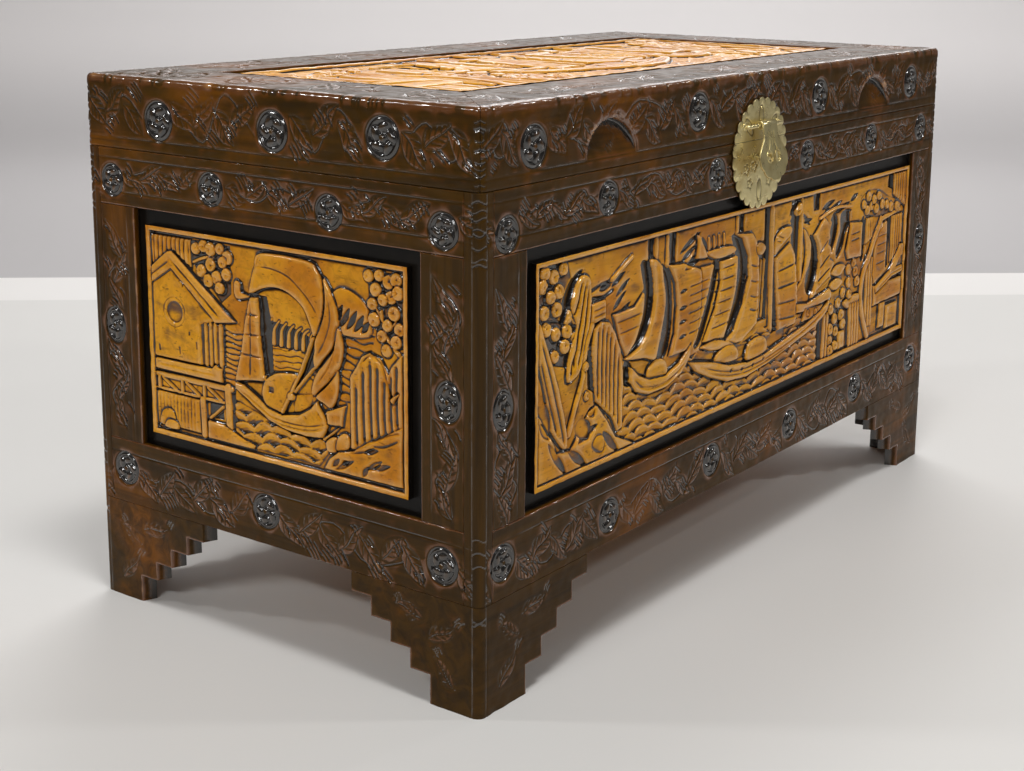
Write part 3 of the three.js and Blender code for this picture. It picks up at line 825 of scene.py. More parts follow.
def carve_scoops(relief):
    """Half-moon finger recesses whose floors lean in towards the top."""
    for middle in (LENGTH / 2 - SCOOP_OFFSET, LENGTH / 2 + SCOOP_OFFSET):
        angle = np.linspace(0, math.pi, 25)
        arch = np.stack([middle + SCOOP_HALF * np.cos(angle),
                         SCOOP_BASE + SCOOP_RISE * np.sin(angle)], axis=-1)
        where, u, v = relief.window(arch, 4)
        d = outline_distance(arch, u, v)
        near = smooth(-d / 7.0)
        keep = relief.h[where] * 0.4
        floor = -np.maximum(v - SCOOP_BASE, 0) * SCOOP_SLOPE - 0.2
        relief.h[where] -= 0.8 * np.exp(-((d - 2.2) / 0.8) ** 2) * (v > SCOOP_BASE + 1)
        relief.lay(where, d, floor + keep * near, 1.2)


def carve_top():
    """The lid's upper frame: shallow leaves all round and a plain strip by the recess."""
    relief = Relief(LENGTH, DEPTH, TOP_CARVE_STEP)
    outer, inner = 12.0, LID_EDGE - 14.0
    gap, leaf_spacing = 8, 42.0
    for along, across, margin, count in ((LENGTH, DEPTH, 110, 6), (DEPTH, LENGTH, 150, 3)):
        spots = list(np.linspace(margin, along - margin, count))
        for v0, v1 in ((outer, inner), (across - inner, across - outer)):
            carve_band(relief, v0, v1, spots, gap, along == LENGTH, leaf_spacing)
    for inset in (LID_EDGE - 12, LID_EDGE - 5):
        frame_line = [(inset, inset), (LENGTH - inset, inset),
                      (LENGTH - inset, DEPTH - inset), (inset, DEPTH - inset), (inset, inset)]
        relief.cut(np.array(frame_line, float), 1.8, 0.7)
    return relief.finished(-DEEPEST_TOP_CUT)


RELIEFS = {name: carve_side(name) for name in ORDER}
carve_scoops(RELIEFS["front"])
for side_relief in RELIEFS.values():
    side_relief.finished(-DEEPEST_CUT)
TOP_RELIEF = carve_top()


# ---- frame pieces ----------------------------------------------------------
def rail_piece(side_name, node, material, radii):
    """A flat frame member with the side's carving on its face."""
    side = SIDES[side_name]
    low, high = box_mm(node)
    corners = [(low - side.origin) @ side.along, (high - side.origin) @ side.along]
    us = lines(min(corners), max(corners), CARVE_STEP)
    vs = lines(low[2], high[2], CARVE_STEP)
    u, v = np.meshgrid(us, vs)
    h, crease = RELIEFS[side_name].at(u, v)
    drop, near = arris(u, v, radii)
    front = side.place(u, v, h - drop)
    back = side.place(u, v, np.full_like(u, -RAIL_THICK))
    piece = slab(f"{node}_carved", front, back, crease - 0.6 * near)
    finish_piece(piece, material, "case", "lacquered_wood", node)


FAR = 1e6  # beyond any size here, so that a limit it is added to has no effect


def corner_place(first, second, s, q, z):
    """A point on the wrap round a corner from one side to the next.

    s runs along the first side, round the arc from 0, and on along the second;
    q is the depth into the wood.
    """
    s, q, z = np.broadcast_arrays(s, q, z)
    theta = np.clip(s / CORNER_RADIUS, 0, math.pi / 2)
    radius = np.maximum(CORNER_RADIUS - q, 0)
    deep = np.maximum(q - CORNER_RADIUS, 0)
    a = -CORNER_RADIUS + radius * np.sin(theta) - deep
    b = CORNER_RADIUS - radius * np.cos(theta) + deep
    a = np.minimum(a + np.minimum(s, 0), -q * (s < 0) + FAR * (s >= 0))
    b = np.maximum(b + np.maximum(s - CORNER_ARC, 0),
                   q * (s > CORNER_ARC) - FAR * (s <= CORNER_ARC))
    corner = SIDES[second].origin
    return (corner + a[..., None] * SIDES[first].along
            + b[..., None] * SIDES[second].along + z[..., None] * np.array(UP))


# Height, width and depth of each small cut across the rounded corners.
CORNER_CUTS = [
    (93, 1.1, 1.0), (97, 0.9, 0.9), (150, 0.9, 0.9), (163, 1.0, 1.0), (176, 0.9, 0.7),
    (433, 1.0, 1.1), (438, 0.9, 0.8), (449, 1.0, 1.0), (461, 1.1, 1.2), (465, 0.9, 1.0),
    (475, 1.0, 1.0), (482, 0.9, 0.9), (490, 1.0, 1.1), (506, 0.9, 0.8), (514, 1.0, 1.2),
    (520, 0.9, 0.9), (526, 1.1, 1.2), (537, 1.2, 1.4), (545, 0.9, 1.0), (556, 1.3, 1.4),
    (562, 0.9, 1.0),
]


def corner_grooves(h, crease, t, z, share):
    """Adds the small cuts across a rounded corner; t runs from 0 to 1 round its arc."""
    for level, width, depth in CORNER_CUTS:
        wave = level + 1.6 * np.sin(5 * t + level)
        groove = depth * np.exp(-((z - wave) / width) ** 2) * share
        # The grooves' crease darkens them as painted shade.
        h, crease = h - groove, crease + 0.7 * groove
    return h, crease


def wrap_height(first, second, s, z):
    """Height and crease of the carving on the wrap round a corner."""
    width = WIDTHS[first]
    on_first = RELIEFS[first].at(np.minimum(width - CORNER_RADIUS + s, width), z)
    on_second = RELIEFS[second].at(np.maximum(CORNER_RADIUS + s - CORNER_ARC, 0), z)
    h, crease = (np.where(s <= 0, a, np.where(s >= CORNER_ARC, b, 0.0))
                 for a, b in zip(on_first, on_second))
    t = s / CORNER_ARC
    h, crease = corner_grooves(h, crease, t, z,
                               smooth((t + 0.12) / 0.2) * smooth((1.12 - t) / 0.2))
    quirk = 0.8 * (np.exp(-((s + 0.8) / 0.7) ** 2)
                   + np.exp(-((s - CORNER_ARC - 0.8) / 0.7) ** 2))
    # The quirks' crease darkens them as painted shade.
    return h - quirk, crease + 0.6 * quirk


def post_piece(first, second, node):
    """A square post whose outer corner is rounded, carved on both faces and round the corner."""
    flat = POST - CORNER_RADIUS
    end = CORNER_ARC + flat
    ss = np.concatenate([[-flat, -flat + 0.4], np.linspace(-flat + 1.2, end - 1.2, 26),
                         [end - 0.4, end]])
    zs = lines(FEET_TOP, POST_TOP, 1.3)
    s, z = np.meshgrid(ss, zs)
    h, crease = wrap_height(first, second, s, z)
    drop, near = arris(s, z, (JOINT,) * 4)
    outer = corner_place(first, second, s, drop - h, z)
    inner = (SIDES[second].origin - POST * SIDES[first].along + POST * SIDES[second].along
             + zs[:, None] * np.array(UP))
    rings = np.concatenate([outer, inner[:, None, :]], axis=1)
    values = np.hstack([crease - 0.25 * near, np.zeros((len(zs), 1))])
    piece = ring_solid(f"{node}_carved", rings, len(ss), values)
    finish_piece(piece, LACQUER["z"], "case", "lacquered_wood", node)


FOOT_THICK, FOOT_STEPS, FOOT_TIP_HEIGHT = 15.0, 4, 30.0
FOOT_RUNS = {"x": (72.0, 26.0), "y": (60.0, 24.75)}  # length of the tip, and of each step


def foot_piece(first, second, node):
    """An L-shaped foot cut in steps, rounded at the corner like the post above."""
    low, high = box_mm(node)
    reach = {side: abs((high - low) @ SIDES[side].along) for side in (first, second)}
    runs = {side: FOOT_RUNS[grain_along(side)] for side in (first, second)}
    rise = (FEET_TOP - FOOT_TIP_HEIGHT) / FOOT_STEPS
    levels = [FOOT_TIP_HEIGHT + k * rise for k in range(FOOT_STEPS)]
    breaks = []
    for side in (first, second):
        start, step = runs[side]
        for k in range(FOOT_STEPS + 1):
            edge = min(start + k * step, reach[side]) - CORNER_RADIUS
            breaks.append(-edge if side == first else CORNER_ARC + edge)
    s, z = np.meshgrid(dense(sorted(breaks), 1.6), dense([0.0] + levels + [high[2]], 1.6))
    s_mid, z_mid = (s[:-1, 1:] + s[:-1, :-1]) / 2, (z[1:, :-1] + z[:-1, :-1]) / 2
    distance = np.where(s_mid < CORNER_ARC / 2, -s_mid, s_mid - CORNER_ARC) + CORNER_RADIUS
    keep = np.zeros(s_mid.shape, bool)
    h, crease = wrap_height(first, second, s, z)
    for side, on_side, away in ((first, s_mid < CORNER_ARC / 2, -s),
                                (second, s_mid >= CORNER_ARC / 2, s - CORNER_ARC)):
        start, step = runs[side]
        allowed = start + step * sum(z_mid > level for level in levels)
        keep |= on_side & (distance < allowed)
        crease = crease - foot_edges(away + CORNER_RADIUS, z, start, step, levels)
    front = corner_place(first, second, s, -h, z)
    back = corner_place(first, second, s, np.full_like(s, FOOT_THICK), z)
    piece = stepped_slab(f"{node}_carved", front, back, keep, crease)
    finish_piece(piece, LACQUER["x"], "case", "lacquered_wood", node)


def dense(marks, step):
    """Grid lines that include every mark, with lines close beside each."""
    out = set()
    for a, b in zip(marks[:-1], marks[1:]):
        for value in lines(a, b, step, (0.4, 1.2)):
            out.add(round(float(value), 4))
    return np.array(sorted(out))


def foot_edges(distance, z, start, step, levels):
    """More rubbing close to a foot's stepped edge on one side."""
    line = [(start, 0.0)]
    for k, level in enumerate(levels):
        line += [(start + k * step, level), (start + (k + 1) * step, level)]
    near, _ = line_distance(np.array(line), distance, z)
    return 0.45 * np.exp(-(near / 1.4) ** 2)


CHIPS_PER_MM = 0.055


def edge_chips(positions):
    """Depths of small worn chips and carved notches scattered along an edge."""
    depth = np.zeros(positions.shape)
    span = positions.max() - positions.min()
    for _ in range(int(span * CHIPS_PER_MM)):
        middle = positions.min() + span * rng.uniform()
        width, deep = rng.uniform(1.0, 2.2) ** 2.4, rng.uniform(0.2, 1.0)
        depth = np.maximum(depth, deep * np.exp(-((positions - middle) / width) ** 2))
    return depth


def lid_rail_section():
    """The rail's outline from its foot up and inwards: depth, height and outward direction."""
    outer_z = lines(LID_BOTTOM, LID_TOP - LID_ARRIS, 1.2, (0.4, 1.0))
    turn = np.linspace(0, math.pi / 2, 7)[1:]
    top_q = np.linspace(LID_ARRIS, LID_RAIL, 7)[1:]
    q = np.concatenate([0 * outer_z, LID_ARRIS * (1 - np.cos(turn)), top_q])
    z = np.concatenate([outer_z, LID_TOP - LID_ARRIS + LID_ARRIS * np.sin(turn),
                        np.full(len(top_q), LID_TOP)])
    out_q = np.concatenate([0 * outer_z + 1, np.cos(turn), 0 * top_q])
    out_z = np.concatenate([0 * outer_z, np.sin(turn), 0 * top_q + 1])
    return q, z, out_q, out_z


def on_plan(side_name, u, v):
    """Where a place u along a side and v in from it lies on the lid's plan."""
    return {"front": (u, v), "right": (LENGTH - v, u),
            "back": (LENGTH - u, DEPTH - v), "left": (v, DEPTH - u)}[side_name]


def worn_arris(h, crease, s, q, z):
    """Chips and rubbing along the lid's upper arris, and a small drop at its foot."""
    h = h - 0.7 * np.exp(-((z - LID_BOTTOM) / 0.8) ** 2)
    near_edge = np.exp(-((q + LID_TOP - z - LID_ARRIS * 0.6) / 5.0) ** 2)
    chipped = edge_chips(s)[:, None] * near_edge
    # The chips' crease darkens them as painted shade; the rubbed edge lightens.
    return h - chipped, crease + 0.35 * chipped - 0.45 * near_edge * (chipped < 0.35)


MITRE_GAP = 0.3


def lid_rail_piece(side_name):
    """A mitred lid rail: carved outer face, rounded upper arris and level top."""
    node = f"lid_rail_{side_name}"
    side, width = SIDES[side_name], WIDTHS[side_name]
    half_arc = CORNER_ARC / 2
    flat = width - 2 * CORNER_RADIUS
    ss = np.concatenate([np.linspace(-half_arc, 0, 12)[:-1],
                         lines(0, flat, CARVE_STEP, (0.6, 1.2)),
                         np.linspace(flat, flat + half_arc, 12)[1:]])
    q0, z0, out_q, out_z = lid_rail_section()
    s, _ = np.meshgrid(ss, z0, indexing="ij")
    q, z = np.broadcast_to(q0, s.shape), np.broadcast_to(z0, s.shape)
    u = np.clip(CORNER_RADIUS + s, 0, width)
    h, crease = RELIEFS[side_name].at(u, z)
    top_h, top_crease = TOP_RELIEF.at(*on_plan(side_name, u, q))
    level = z >= LID_TOP - 1e-6
    h, crease = np.where(level, top_h, h), np.where(level, top_crease, crease)
    on_arc = np.maximum(np.maximum(-s, s - flat), 0)
    h, crease = corner_grooves(h, crease, 0.5 - on_arc / (2 * half_arc), z, smooth(on_arc / 3))
    h, crease = worn_arris(h, crease, ss, q, z)
    q, z = q - h * out_q, z + h * out_z
    # Round the corners as far as the mitres, which cut across them.
    radius, deep = np.maximum(CORNER_RADIUS - q, 0), np.maximum(q - CORNER_RADIUS, 0)
    theta = np.clip(on_arc / CORNER_RADIUS, 0, math.pi / 4)
    end = width - MITRE_GAP
    right = end - CORNER_RADIUS + radius * np.sin(theta) - deep
    left = MITRE_GAP + CORNER_RADIUS - radius * np.sin(theta) + deep
    inward = CORNER_RADIUS - radius * np.cos(theta) + deep
    u = np.where(s > flat, right, np.where(s < 0, left, CORNER_RADIUS + s))
    u = np.where(q > CORNER_RADIUS, np.clip(u, MITRE_GAP + q, end - q), u)
    inward = np.where((s < 0) | (s > flat), inward, q)
    grid = side.place(u, z, -inward)
    u_in = np.clip(CORNER_RADIUS + ss, MITRE_GAP + LID_RAIL, end - LID_RAIL)
    foot_line = side.place(u_in, np.full(len(ss), LID_BOTTOM), np.full(len(ss), -LID_RAIL))
    rings = np.concatenate([grid, foot_line[:, None, :]], axis=1)[:, ::-1]
    values = np.hstack([crease, np.zeros((len(ss), 1))])[:, ::-1]
    piece = ring_solid(f"{node}_carved", np.roll(rings, -1, axis=1), len(z0),
                       np.roll(values, -1, axis=1))
    finish_piece(piece, LACQUER[grain_along(side_name)], "lid", "lacquered_wood", node)


def lid_frame_piece(side_name):
    """A mitred board of the lid's upper frame."""
    node = f"lid_frame_{side_name}"
    width = WIDTHS[side_name]
    inset = LID_RAIL + MITRE_GAP
    vs = lines(inset, LID_EDGE, 1.6)
    ts = lines(0, width - 2 * inset, 1.6) / (width - 2 * inset)
    t, v = np.meshgrid(ts, vs)
    x, y = on_plan(side_name, v + MITRE_GAP + t * (width - 2 * v - 2 * MITRE_GAP), v)
    h, crease = TOP_RELIEF.at(x, y)
    drop, near = arris(t * (width - 2 * inset), v, (JOINT, JOINT, JOINT, ROUNDED))
    front = TOP.place(x, y, h - drop)
    back = TOP.place(x, y, np.full_like(x, -LID_FRAME_THICK))
    piece = slab(f"{node}_carved", front, back, crease - 0.25 * near)
    finish_piece(piece, LACQUER[grain_along(side_name)], "lid", "lacquered_wood", node)


def build_frame():
    """Every rail, stile, post and foot, and the lid's rails and frame boards."""
    stiles = {"front": ("left", "right"), "back": ("right", "left"),
              "left": ("back", "front"), "right": ("front", "back")}
    for name in ORDER:
        level_wood = LACQUER[grain_along(name)]
        rail_piece(name, f"top_rail_{name}", level_wood, (JOINT, JOINT, ROUNDED, JOINT))
        rail_piece(name, f"bottom_rail_{name}", level_wood, (JOINT, JOINT, JOINT, ROUNDED))
        inner_edges = ((JOINT, ROUNDED, JOINT, JOINT), (ROUNDED, JOINT, JOINT, JOINT))
        for end, radii in zip(stiles[name], inner_edges):
            rail_piece(name, f"stile_{name}_{end}", LACQUER["z"], radii)
        lid_rail_piece(name)
        lid_frame_piece(name)
    corners = {("front", "right"): "front_right", ("right", "back"): "back_right",
               ("back", "left"): "back_left", ("left", "front"): "front_left"}
    for (first, second), corner in corners.items():
        post_piece(first, second, f"corner_post_{corner}")
        foot_piece(first, second, f"foot_{corner}")


build_frame()


# ---- carved scenes ---------------------------------------------------------
DEEPER = 1.2  # how much the levels written in the scenes are stretched
CUT_WIDER, CUT_DEEPER = 1.2, 1.5  # the same for their cuts
SKY, DEEP = -3.6, -7.2
DRAWN_HEIGHT = 224.0  # height of the panel that the scenes' sizes in millimetres are for


class Scene:
    """A carved scene: outlines are given in hundredths of the panel, from its upper left."""

    def __init__(self, width, height, step, mirrored=False):
        """A panel of sky, which can be carved the other way round."""
        self.relief = Relief(width, height, step, SKY)
        self.scale = np.array([width, height]) / 100.0
        self.mirrored = mirrored

    def mm(self, points):
        """From hundredths of the panel to millimetres from its lower left."""
        p = np.array(points, float)
        if self.mirrored:
            p[:, 0] = 100 - p[:, 0]
        p[:, 1] = 100 - p[:, 1]
        return p * self.scale

    def lay(self, outline, top, moat=None, lean=None, **options):
        """One shape; hollows have no moat, and raised shapes lean a little either way."""
        hollow = top <= SKY
        moat = (0.0 if hollow else 2.4) if moat is None else moat
        lean = (0.0 if hollow else rng.uniform(-1.1, 1.1)) if lean is None else lean
        dome = options.pop("dome", 0.2 if hollow else 1.0)
        self.relief.shape(outline, top * DEEPER, moat=moat, lean=lean, dome=dome, **options)

    def shape(self, points, top, **options):
        """A shape with straight edges."""
        self.lay(self.mm(points), top, **options)

    def blob(self, points, top, **options):
        """A shape with a smooth outline."""
        self.lay(curve(self.mm(points), closed=True, per=4), top, **options)

    def bar(self, points, width, top, bent=False, **options):
        """A raised bar, straight or bent smoothly through its points."""
        line = self.mm(points)
        self.relief.bar(curve(line) if bent else line, width, top * DEEPER, **options)

    def cuts(self, many, width=1.7, depth=0.9, bent=True):
        """A group of grooves."""
        for points in many:
            line = self.mm(points)
            line = curve(line) if bent else line
            self.relief.cut(line, width * CUT_WIDER, depth * CUT_DEEPER)

    def discs(self, centres, radius, top=-1.3):
        """Round leaves, no two alike, each with three vein cuts."""
        for centre in self.mm(centres):
            size = radius * rng.uniform(0.82, 1.02)
            self.relief.disc(centre, size, top + rng.uniform(-0.9, 0.5), rng.uniform(-1.4, 0.6))
            turn = rng.uniform(0, 2 * math.pi)
            for k in range(3):
                way = np.array([math.cos(turn + 0.7 * k), math.sin(turn + 0.7 * k)])
                self.relief.cut(np.array([centre, centre + 0.85 * size * way]), 1.1, 1.1)

    def knob(self, x, y, radius):
        """A small flat button."""
        self.relief.disc(self.mm([(x, y)])[0], radius, -0.2, dish=0.0, moat=0.8)

    def blades(self, pairs, width, depth=2.2):
        """Narrow leaf-shaped cuts."""
        for base, tip in pairs:
            a, b = self.mm([base, tip])
            side = np.array([a[1] - b[1], b[0] - a[0]]) / np.hypot(*(b - a))
            middle = a * 0.55 + b * 0.45
            outline = curve([a, middle + side * width / 2, b, middle - side * width / 2], True, 4)
            where, u, v = self.relief.window(outline, 3)
            d = outline_distance(outline, u, v)
            self.relief.h[where] -= depth * smooth(0.5 - d / 1.6)

    def border(self, fillet=5.0, groove=1.6):
        """The raised fillet all round the panel, and painted shade in the deepest hollows."""
        r = self.relief
        u, v = np.meshgrid(np.arange(r.nu) * r.su, np.arange(r.nv) * r.sv)
        d = np.minimum(np.minimum(u, r.width - u), np.minimum(v, r.height - v)) - fillet
        r.h -= groove * np.exp(-((d - 0.8) / 1.3) ** 2)
        t = smooth(0.5 - d / 1.2)
        r.h = r.h * (1 - t) + (-0.1) * t
        # Painted shade: the deepest hollows darken towards black.
        r.stain_and_shade = 0.9 * smooth((-4.2 - r.h) / 1.6)


def end_scene(width, height, step, mirrored=False):
    """A gabled boathouse on a jetty, a junk with a great curved sail, rocks and trees."""
    s = Scene(width, height, step, mirrored)
    r = s.relief
    # Far water, hills and bushes.
    r.ripples(s.mm([(29, 42), (40, 42), (35, 68), (29, 68)]), 5.5, 2.6)
    r.ripples(s.mm([(48, 46), (66, 46), (66, 58), (48, 58)]), 6.0, 1.6)
    r.ripples(s.mm([(76, 32), (88, 32), (82, 66), (74, 66)]), 8.0, 2.0)
    s.blob([(72, 20), (76, 14), (82, 16), (86, 22), (86, 33), (73, 33)], -2.1, moat=0.9)
    s.blades([((73.6, 30), (77, 21)), ((75.8, 31), (79.4, 22)), ((78.2, 31.5), (82, 22.6)),
              ((80.8, 32), (84.4, 24)), ((83.4, 32), (86, 26.6))], 8, depth=3.4)
    # Bamboo behind the opening of the sail.
    s.blob([(47, 35), (52, 35), (58, 36), (63, 38), (66, 40), (66, 45), (47, 45)], -4.6)
    for k in range(7):
        x = 47.6 + 2.8 * k
        s.bar([(x, 44.5), (x + 0.4, 38), (x + 2.2, 33.5 + 0.4 * k)], 5.0, -2.2, True, moat=1.6,
              taper=0.75, crown=1.0)
    # Bamboo and round-leaf tree behind the house.
    stand = [(1.5, 4), (18, 4), (18, 17), (11, 10), (2, 20)]
    s.shape(stand, -1.8)
    r.reeds(s.mm(stand), 6.4, 2.4)
    s.shape([(18, 4), (34, 4), (34, 26), (30, 31), (18, 14)], -4.2, moat=0)
    s.bar([(19, 14), (23, 11.5), (27, 10.5)], 3.2, -2.0, True)
    s.discs([(20.3, 7.5), (23.5, 5.8), (26.4, 6.8), (30, 6), (33, 9.5), (22.3, 17.5),
             (26, 14), (31, 12), (28.5, 19.5), (32.4, 17.3), (25, 21.5), (29.8, 24)], 7.2)
    # House: wall, window, roof and the ribbed corner.
    wall = [(1.3, 23), (10, 18), (27.5, 39.5), (22, 44), (22, 62), (1.3, 62)]
    s.shape(wall, -1.5, moat=1.6)
    s.shape([(22, 43), (30.5, 40), (30.5, 60), (22, 62)], -3.2)
    for x in (23.4, 25.4, 27.2, 29.4):
        s.bar([(x, 42.5 - (x - 23) * 0.3), (x, 61.5)], 4.6, -1.7, moat=1.0)
    s.shape([(8.6, 11), (10.2, 10.6), (35.5, 38.6), (27.5, 40.5), (26.4, 38.2), (10, 18.5),
             (1.3, 27), (1.3, 19.5)], -0.5, moat=2.2)
    s.cuts([[(10, 14.2), (30.5, 38.2)], [(9.6, 15), (1.3, 23.4)]], 1.6, 1.0, False)
    window = s.mm([(10.8, 39.2)])[0]
    r.disc(window, 15.0, -0.9, dish=0.0, moat=1.0)
    r.disc(window, 11.6, -3.0, dish=0.4, moat=0.6)
    s.cuts([[(14.5, 24), (14.6, 27)], [(4, 56), (4.2, 59)], [(12.6, 55), (12.7, 59)],
            [(19.8, 51), (19.9, 55)], [(17, 47), (17, 49)]], 1.6, 0.8)
    # Jetty: slab, deck beam, braces, planks and posts.
    s.shape([(1.3, 63), (25.6, 62.5), (27, 60.5), (29.8, 62), (30, 68), (1.3, 68)], -1.0)
    s.cuts([[(3, 65.2), (28, 64.8)]], 1.2, 0.4)
    s.shape([(1.3, 70), (34, 69.5), (34, 80), (31, 80), (30, 78.6), (1.3, 78.6)], -3.4)
    s.bar([(1.3, 70.7), (33.5, 70.4)], 5.4, -0.6)
    s.bar([(1.3, 77.6), (30, 77.6)], 2.8, -1.0)
    for x in (3, 12.8, 22):
        s.bar([(x, 72), (x, 77)], 4.0, -1.0)
        s.bar([(x + 1.5, 72), (x + 7, 77)], 3.6, -1.6)
    planks = [(1.3, 79), (20, 79), (20, 95), (1.3, 95)]
    s.shape(planks, -1.9)
    r.reeds(s.mm(planks), 5.2, 1.1)
    s.bar([(21.4, 78.6), (21.8, 95)], 7.6, -0.9)
    s.bar([(32, 70), (32.4, 89)], 9.0, -0.5, crown=0.8)
    s.shape([(24, 79.5), (29.6, 79.5), (29.6, 86), (24, 86)], -4.6, moat=0)
    s.bar([(24.2, 86.4), (29.6, 79.6)], 3.4, -1.4)
    s.blob([(3, 95), (4, 88.5), (7.5, 86.5), (9.5, 90), (8.5, 95)], -1.6, dome=0.9)
    s.blob([(5, 96), (6.5, 92), (10, 92.5), (10.5, 96)], -1.2, dome=0.7)
    s.shape([(23.5, 87.5), (30, 88), (42, 94.5), (42, 96), (23.5, 96)], -1.3)
    # Water in front.
    sea = [(34.5, 75), (42, 78), (52, 82.5), (62, 84), (69, 83), (71, 88), (67, 95.5),
           (43, 95.5), (34.5, 90)]
    s.shape(sea, -2.2, moat=0.6)
    r.scales(s.mm(sea), 27.0, 10.0, 4.0)
    # Narrow battened sail.
    sail = [(41.8, 25.5), (45, 25), (46.2, 42), (47.8, 62.5), (42, 63.5), (35.2, 65.5),
            (38, 51), (40, 36)]
    s.shape(sail, -0.8, moat=2.6, moat_width=2.4)
    s.cuts([[(42.2, 26), (42, 44), (41.6, 63)], [(40.2, 33.4), (45.6, 33)],
            [(39.2, 42.8), (46.4, 42)], [(37.6, 52), (47, 52)]], 1.8, 1.1, False)
    s.blob([(36, 19.5), (38, 20), (38.5, 24), (41.5, 25.5), (36.5, 27)], -1.4)
    # Great curved sail, as bands that fold over each other.
    s.shape([(45.4, 24), (48, 24), (49.4, 34), (50, 60), (47, 60), (45.6, 42)], -4.9, moat=0)
    canopy = [(46.7, 4.5), (63.5, 4.5), (68, 8), (70, 16), (69.6, 27), (66.6, 37.5),
              (65, 32.5), (62.5, 25.5), (58, 20.8), (52.7, 18.8), (47.3, 20.2), (42.3, 23.4),
              (42.8, 17.4), (44.3, 10.8)]
    s.blob([(69.8, 11), (72.6, 16), (75, 24), (75.2, 33), (73, 41), (69.6, 47), (66.6, 52),
            (65.4, 50), (66.4, 44), (66.8, 38), (69.4, 29), (70.4, 20)], -0.9,
           moat=2.4, moat_width=2.2)
    s.blob([(75.2, 31.5), (76.9, 38), (76.4, 46), (73.8, 53), (69.8, 59), (66, 64),
            (65.4, 61), (67, 54), (70.4, 48), (73.6, 41.5)], -0.8, moat=2.4)
    s.blob([(75, 51), (74.8, 61), (72.4, 68), (69.6, 66.5), (66.6, 64.5), (70.4, 59),
            (73.6, 53.5)], -1.1, moat=2.2)
    s.blob(canopy, -0.6, moat=2.6, moat_width=2.2)
    s.cuts([[(45.5, 10.6), (51, 10.6), (56.5, 12.4), (60.5, 16), (65, 22), (68, 27.5)],
            [(46.6, 5), (44.6, 12), (43, 20)]], 1.5, 0.8)
    s.cuts([[(71.6, 18), (72.6, 28), (70.6, 38), (67.4, 46)],
            [(74.4, 40), (71.6, 50), (67.6, 58)]], 1.4, 0.7)
    # Boom, sheets and the dark gap behind them.
    s.shape([(65.8, 40), (66.2, 51), (60.8, 58.5), (60.4, 56)], -4.9, moat=0)
    s.bar([(65.9, 38.5), (61, 55), (53.8, 75)], 3.4, -0.3, moat=1.2)
    s.bar([(65.8, 52), (58.5, 64.5)], 3.0, -0.4, moat=1.2)
    # Mat cabin, hull and stern.
    hull = [(35.4, 66), (38.6, 66.5), (43.5, 70.5), (48, 74.5), (53.5, 76.4), (60, 74.6),
            (64.6, 70.4), (67, 66.2), (70.5, 74), (71, 76.5), (69.2, 82.4), (63, 83.4),
            (55.5, 82.8), (48.5, 80.2), (42, 75), (35.4, 69)]
    s.shape([(58, 66), (65, 64), (64, 72), (58, 74)], -3.4, moat=0.8)
    cabin = [(46.6, 71.6), (46, 67.5), (47.4, 62), (51, 58.2), (55.5, 56.8), (59.6, 57),
             (57.6, 65), (54.2, 74.8), (51, 75), (48, 74)]
    s.blob(cabin, -1.3, dome=1.1, reach=14, moat=2.0)
    r.stipple(s.mm(cabin), 3.0, 0.14)
    s.shape([(48.8, 64.4), (50.6, 64.4), (50.6, 67), (48.8, 67)], -2.4, moat=0.8)
    s.bar([(65.9, 38.5), (61, 55), (53.8, 75)], 3.4, -0.1, moat=0.8)
    s.shape(hull, -0.7, moat=2.4, moat_width=2.2)
    s.cuts([[(36, 68), (43, 73), (49, 77.6), (56, 79), (64, 78.4), (70.6, 75.4)],
            [(36.5, 69.6), (43, 75), (49, 79.4), (56, 80.8), (64, 80.2), (70, 77.6)]], 1.5, 0.8)
    s.cuts([[(62, 74), (63.4, 75.2)], [(67, 70.4), (69, 74)]], 1.4, 0.7)
    s.knob(57.2, 66.8, 4.2)
    stern = [(70.3, 70), (77.2, 65.6), (76, 75.4), (71, 75.6)]
    s.shape(stern, -1.4)
    r.reeds(s.mm([(71.6, 71), (76, 70), (75.4, 75), (71.8, 75)]), 2.8, 1.0)
    s.shape([(68.6, 83), (75, 75.6), (72.8, 79.5), (69.5, 83.8)], -1.8)
    s.blob([(70.8, 88), (70.2, 83.6), (73, 80.8), (75.6, 82.6), (74.6, 87)], -1.6, dome=0.8)
    s.blob([(74, 86.8), (74.4, 80.8), (77, 78), (79, 80.6), (78, 85)], -1.5, dome=0.8)
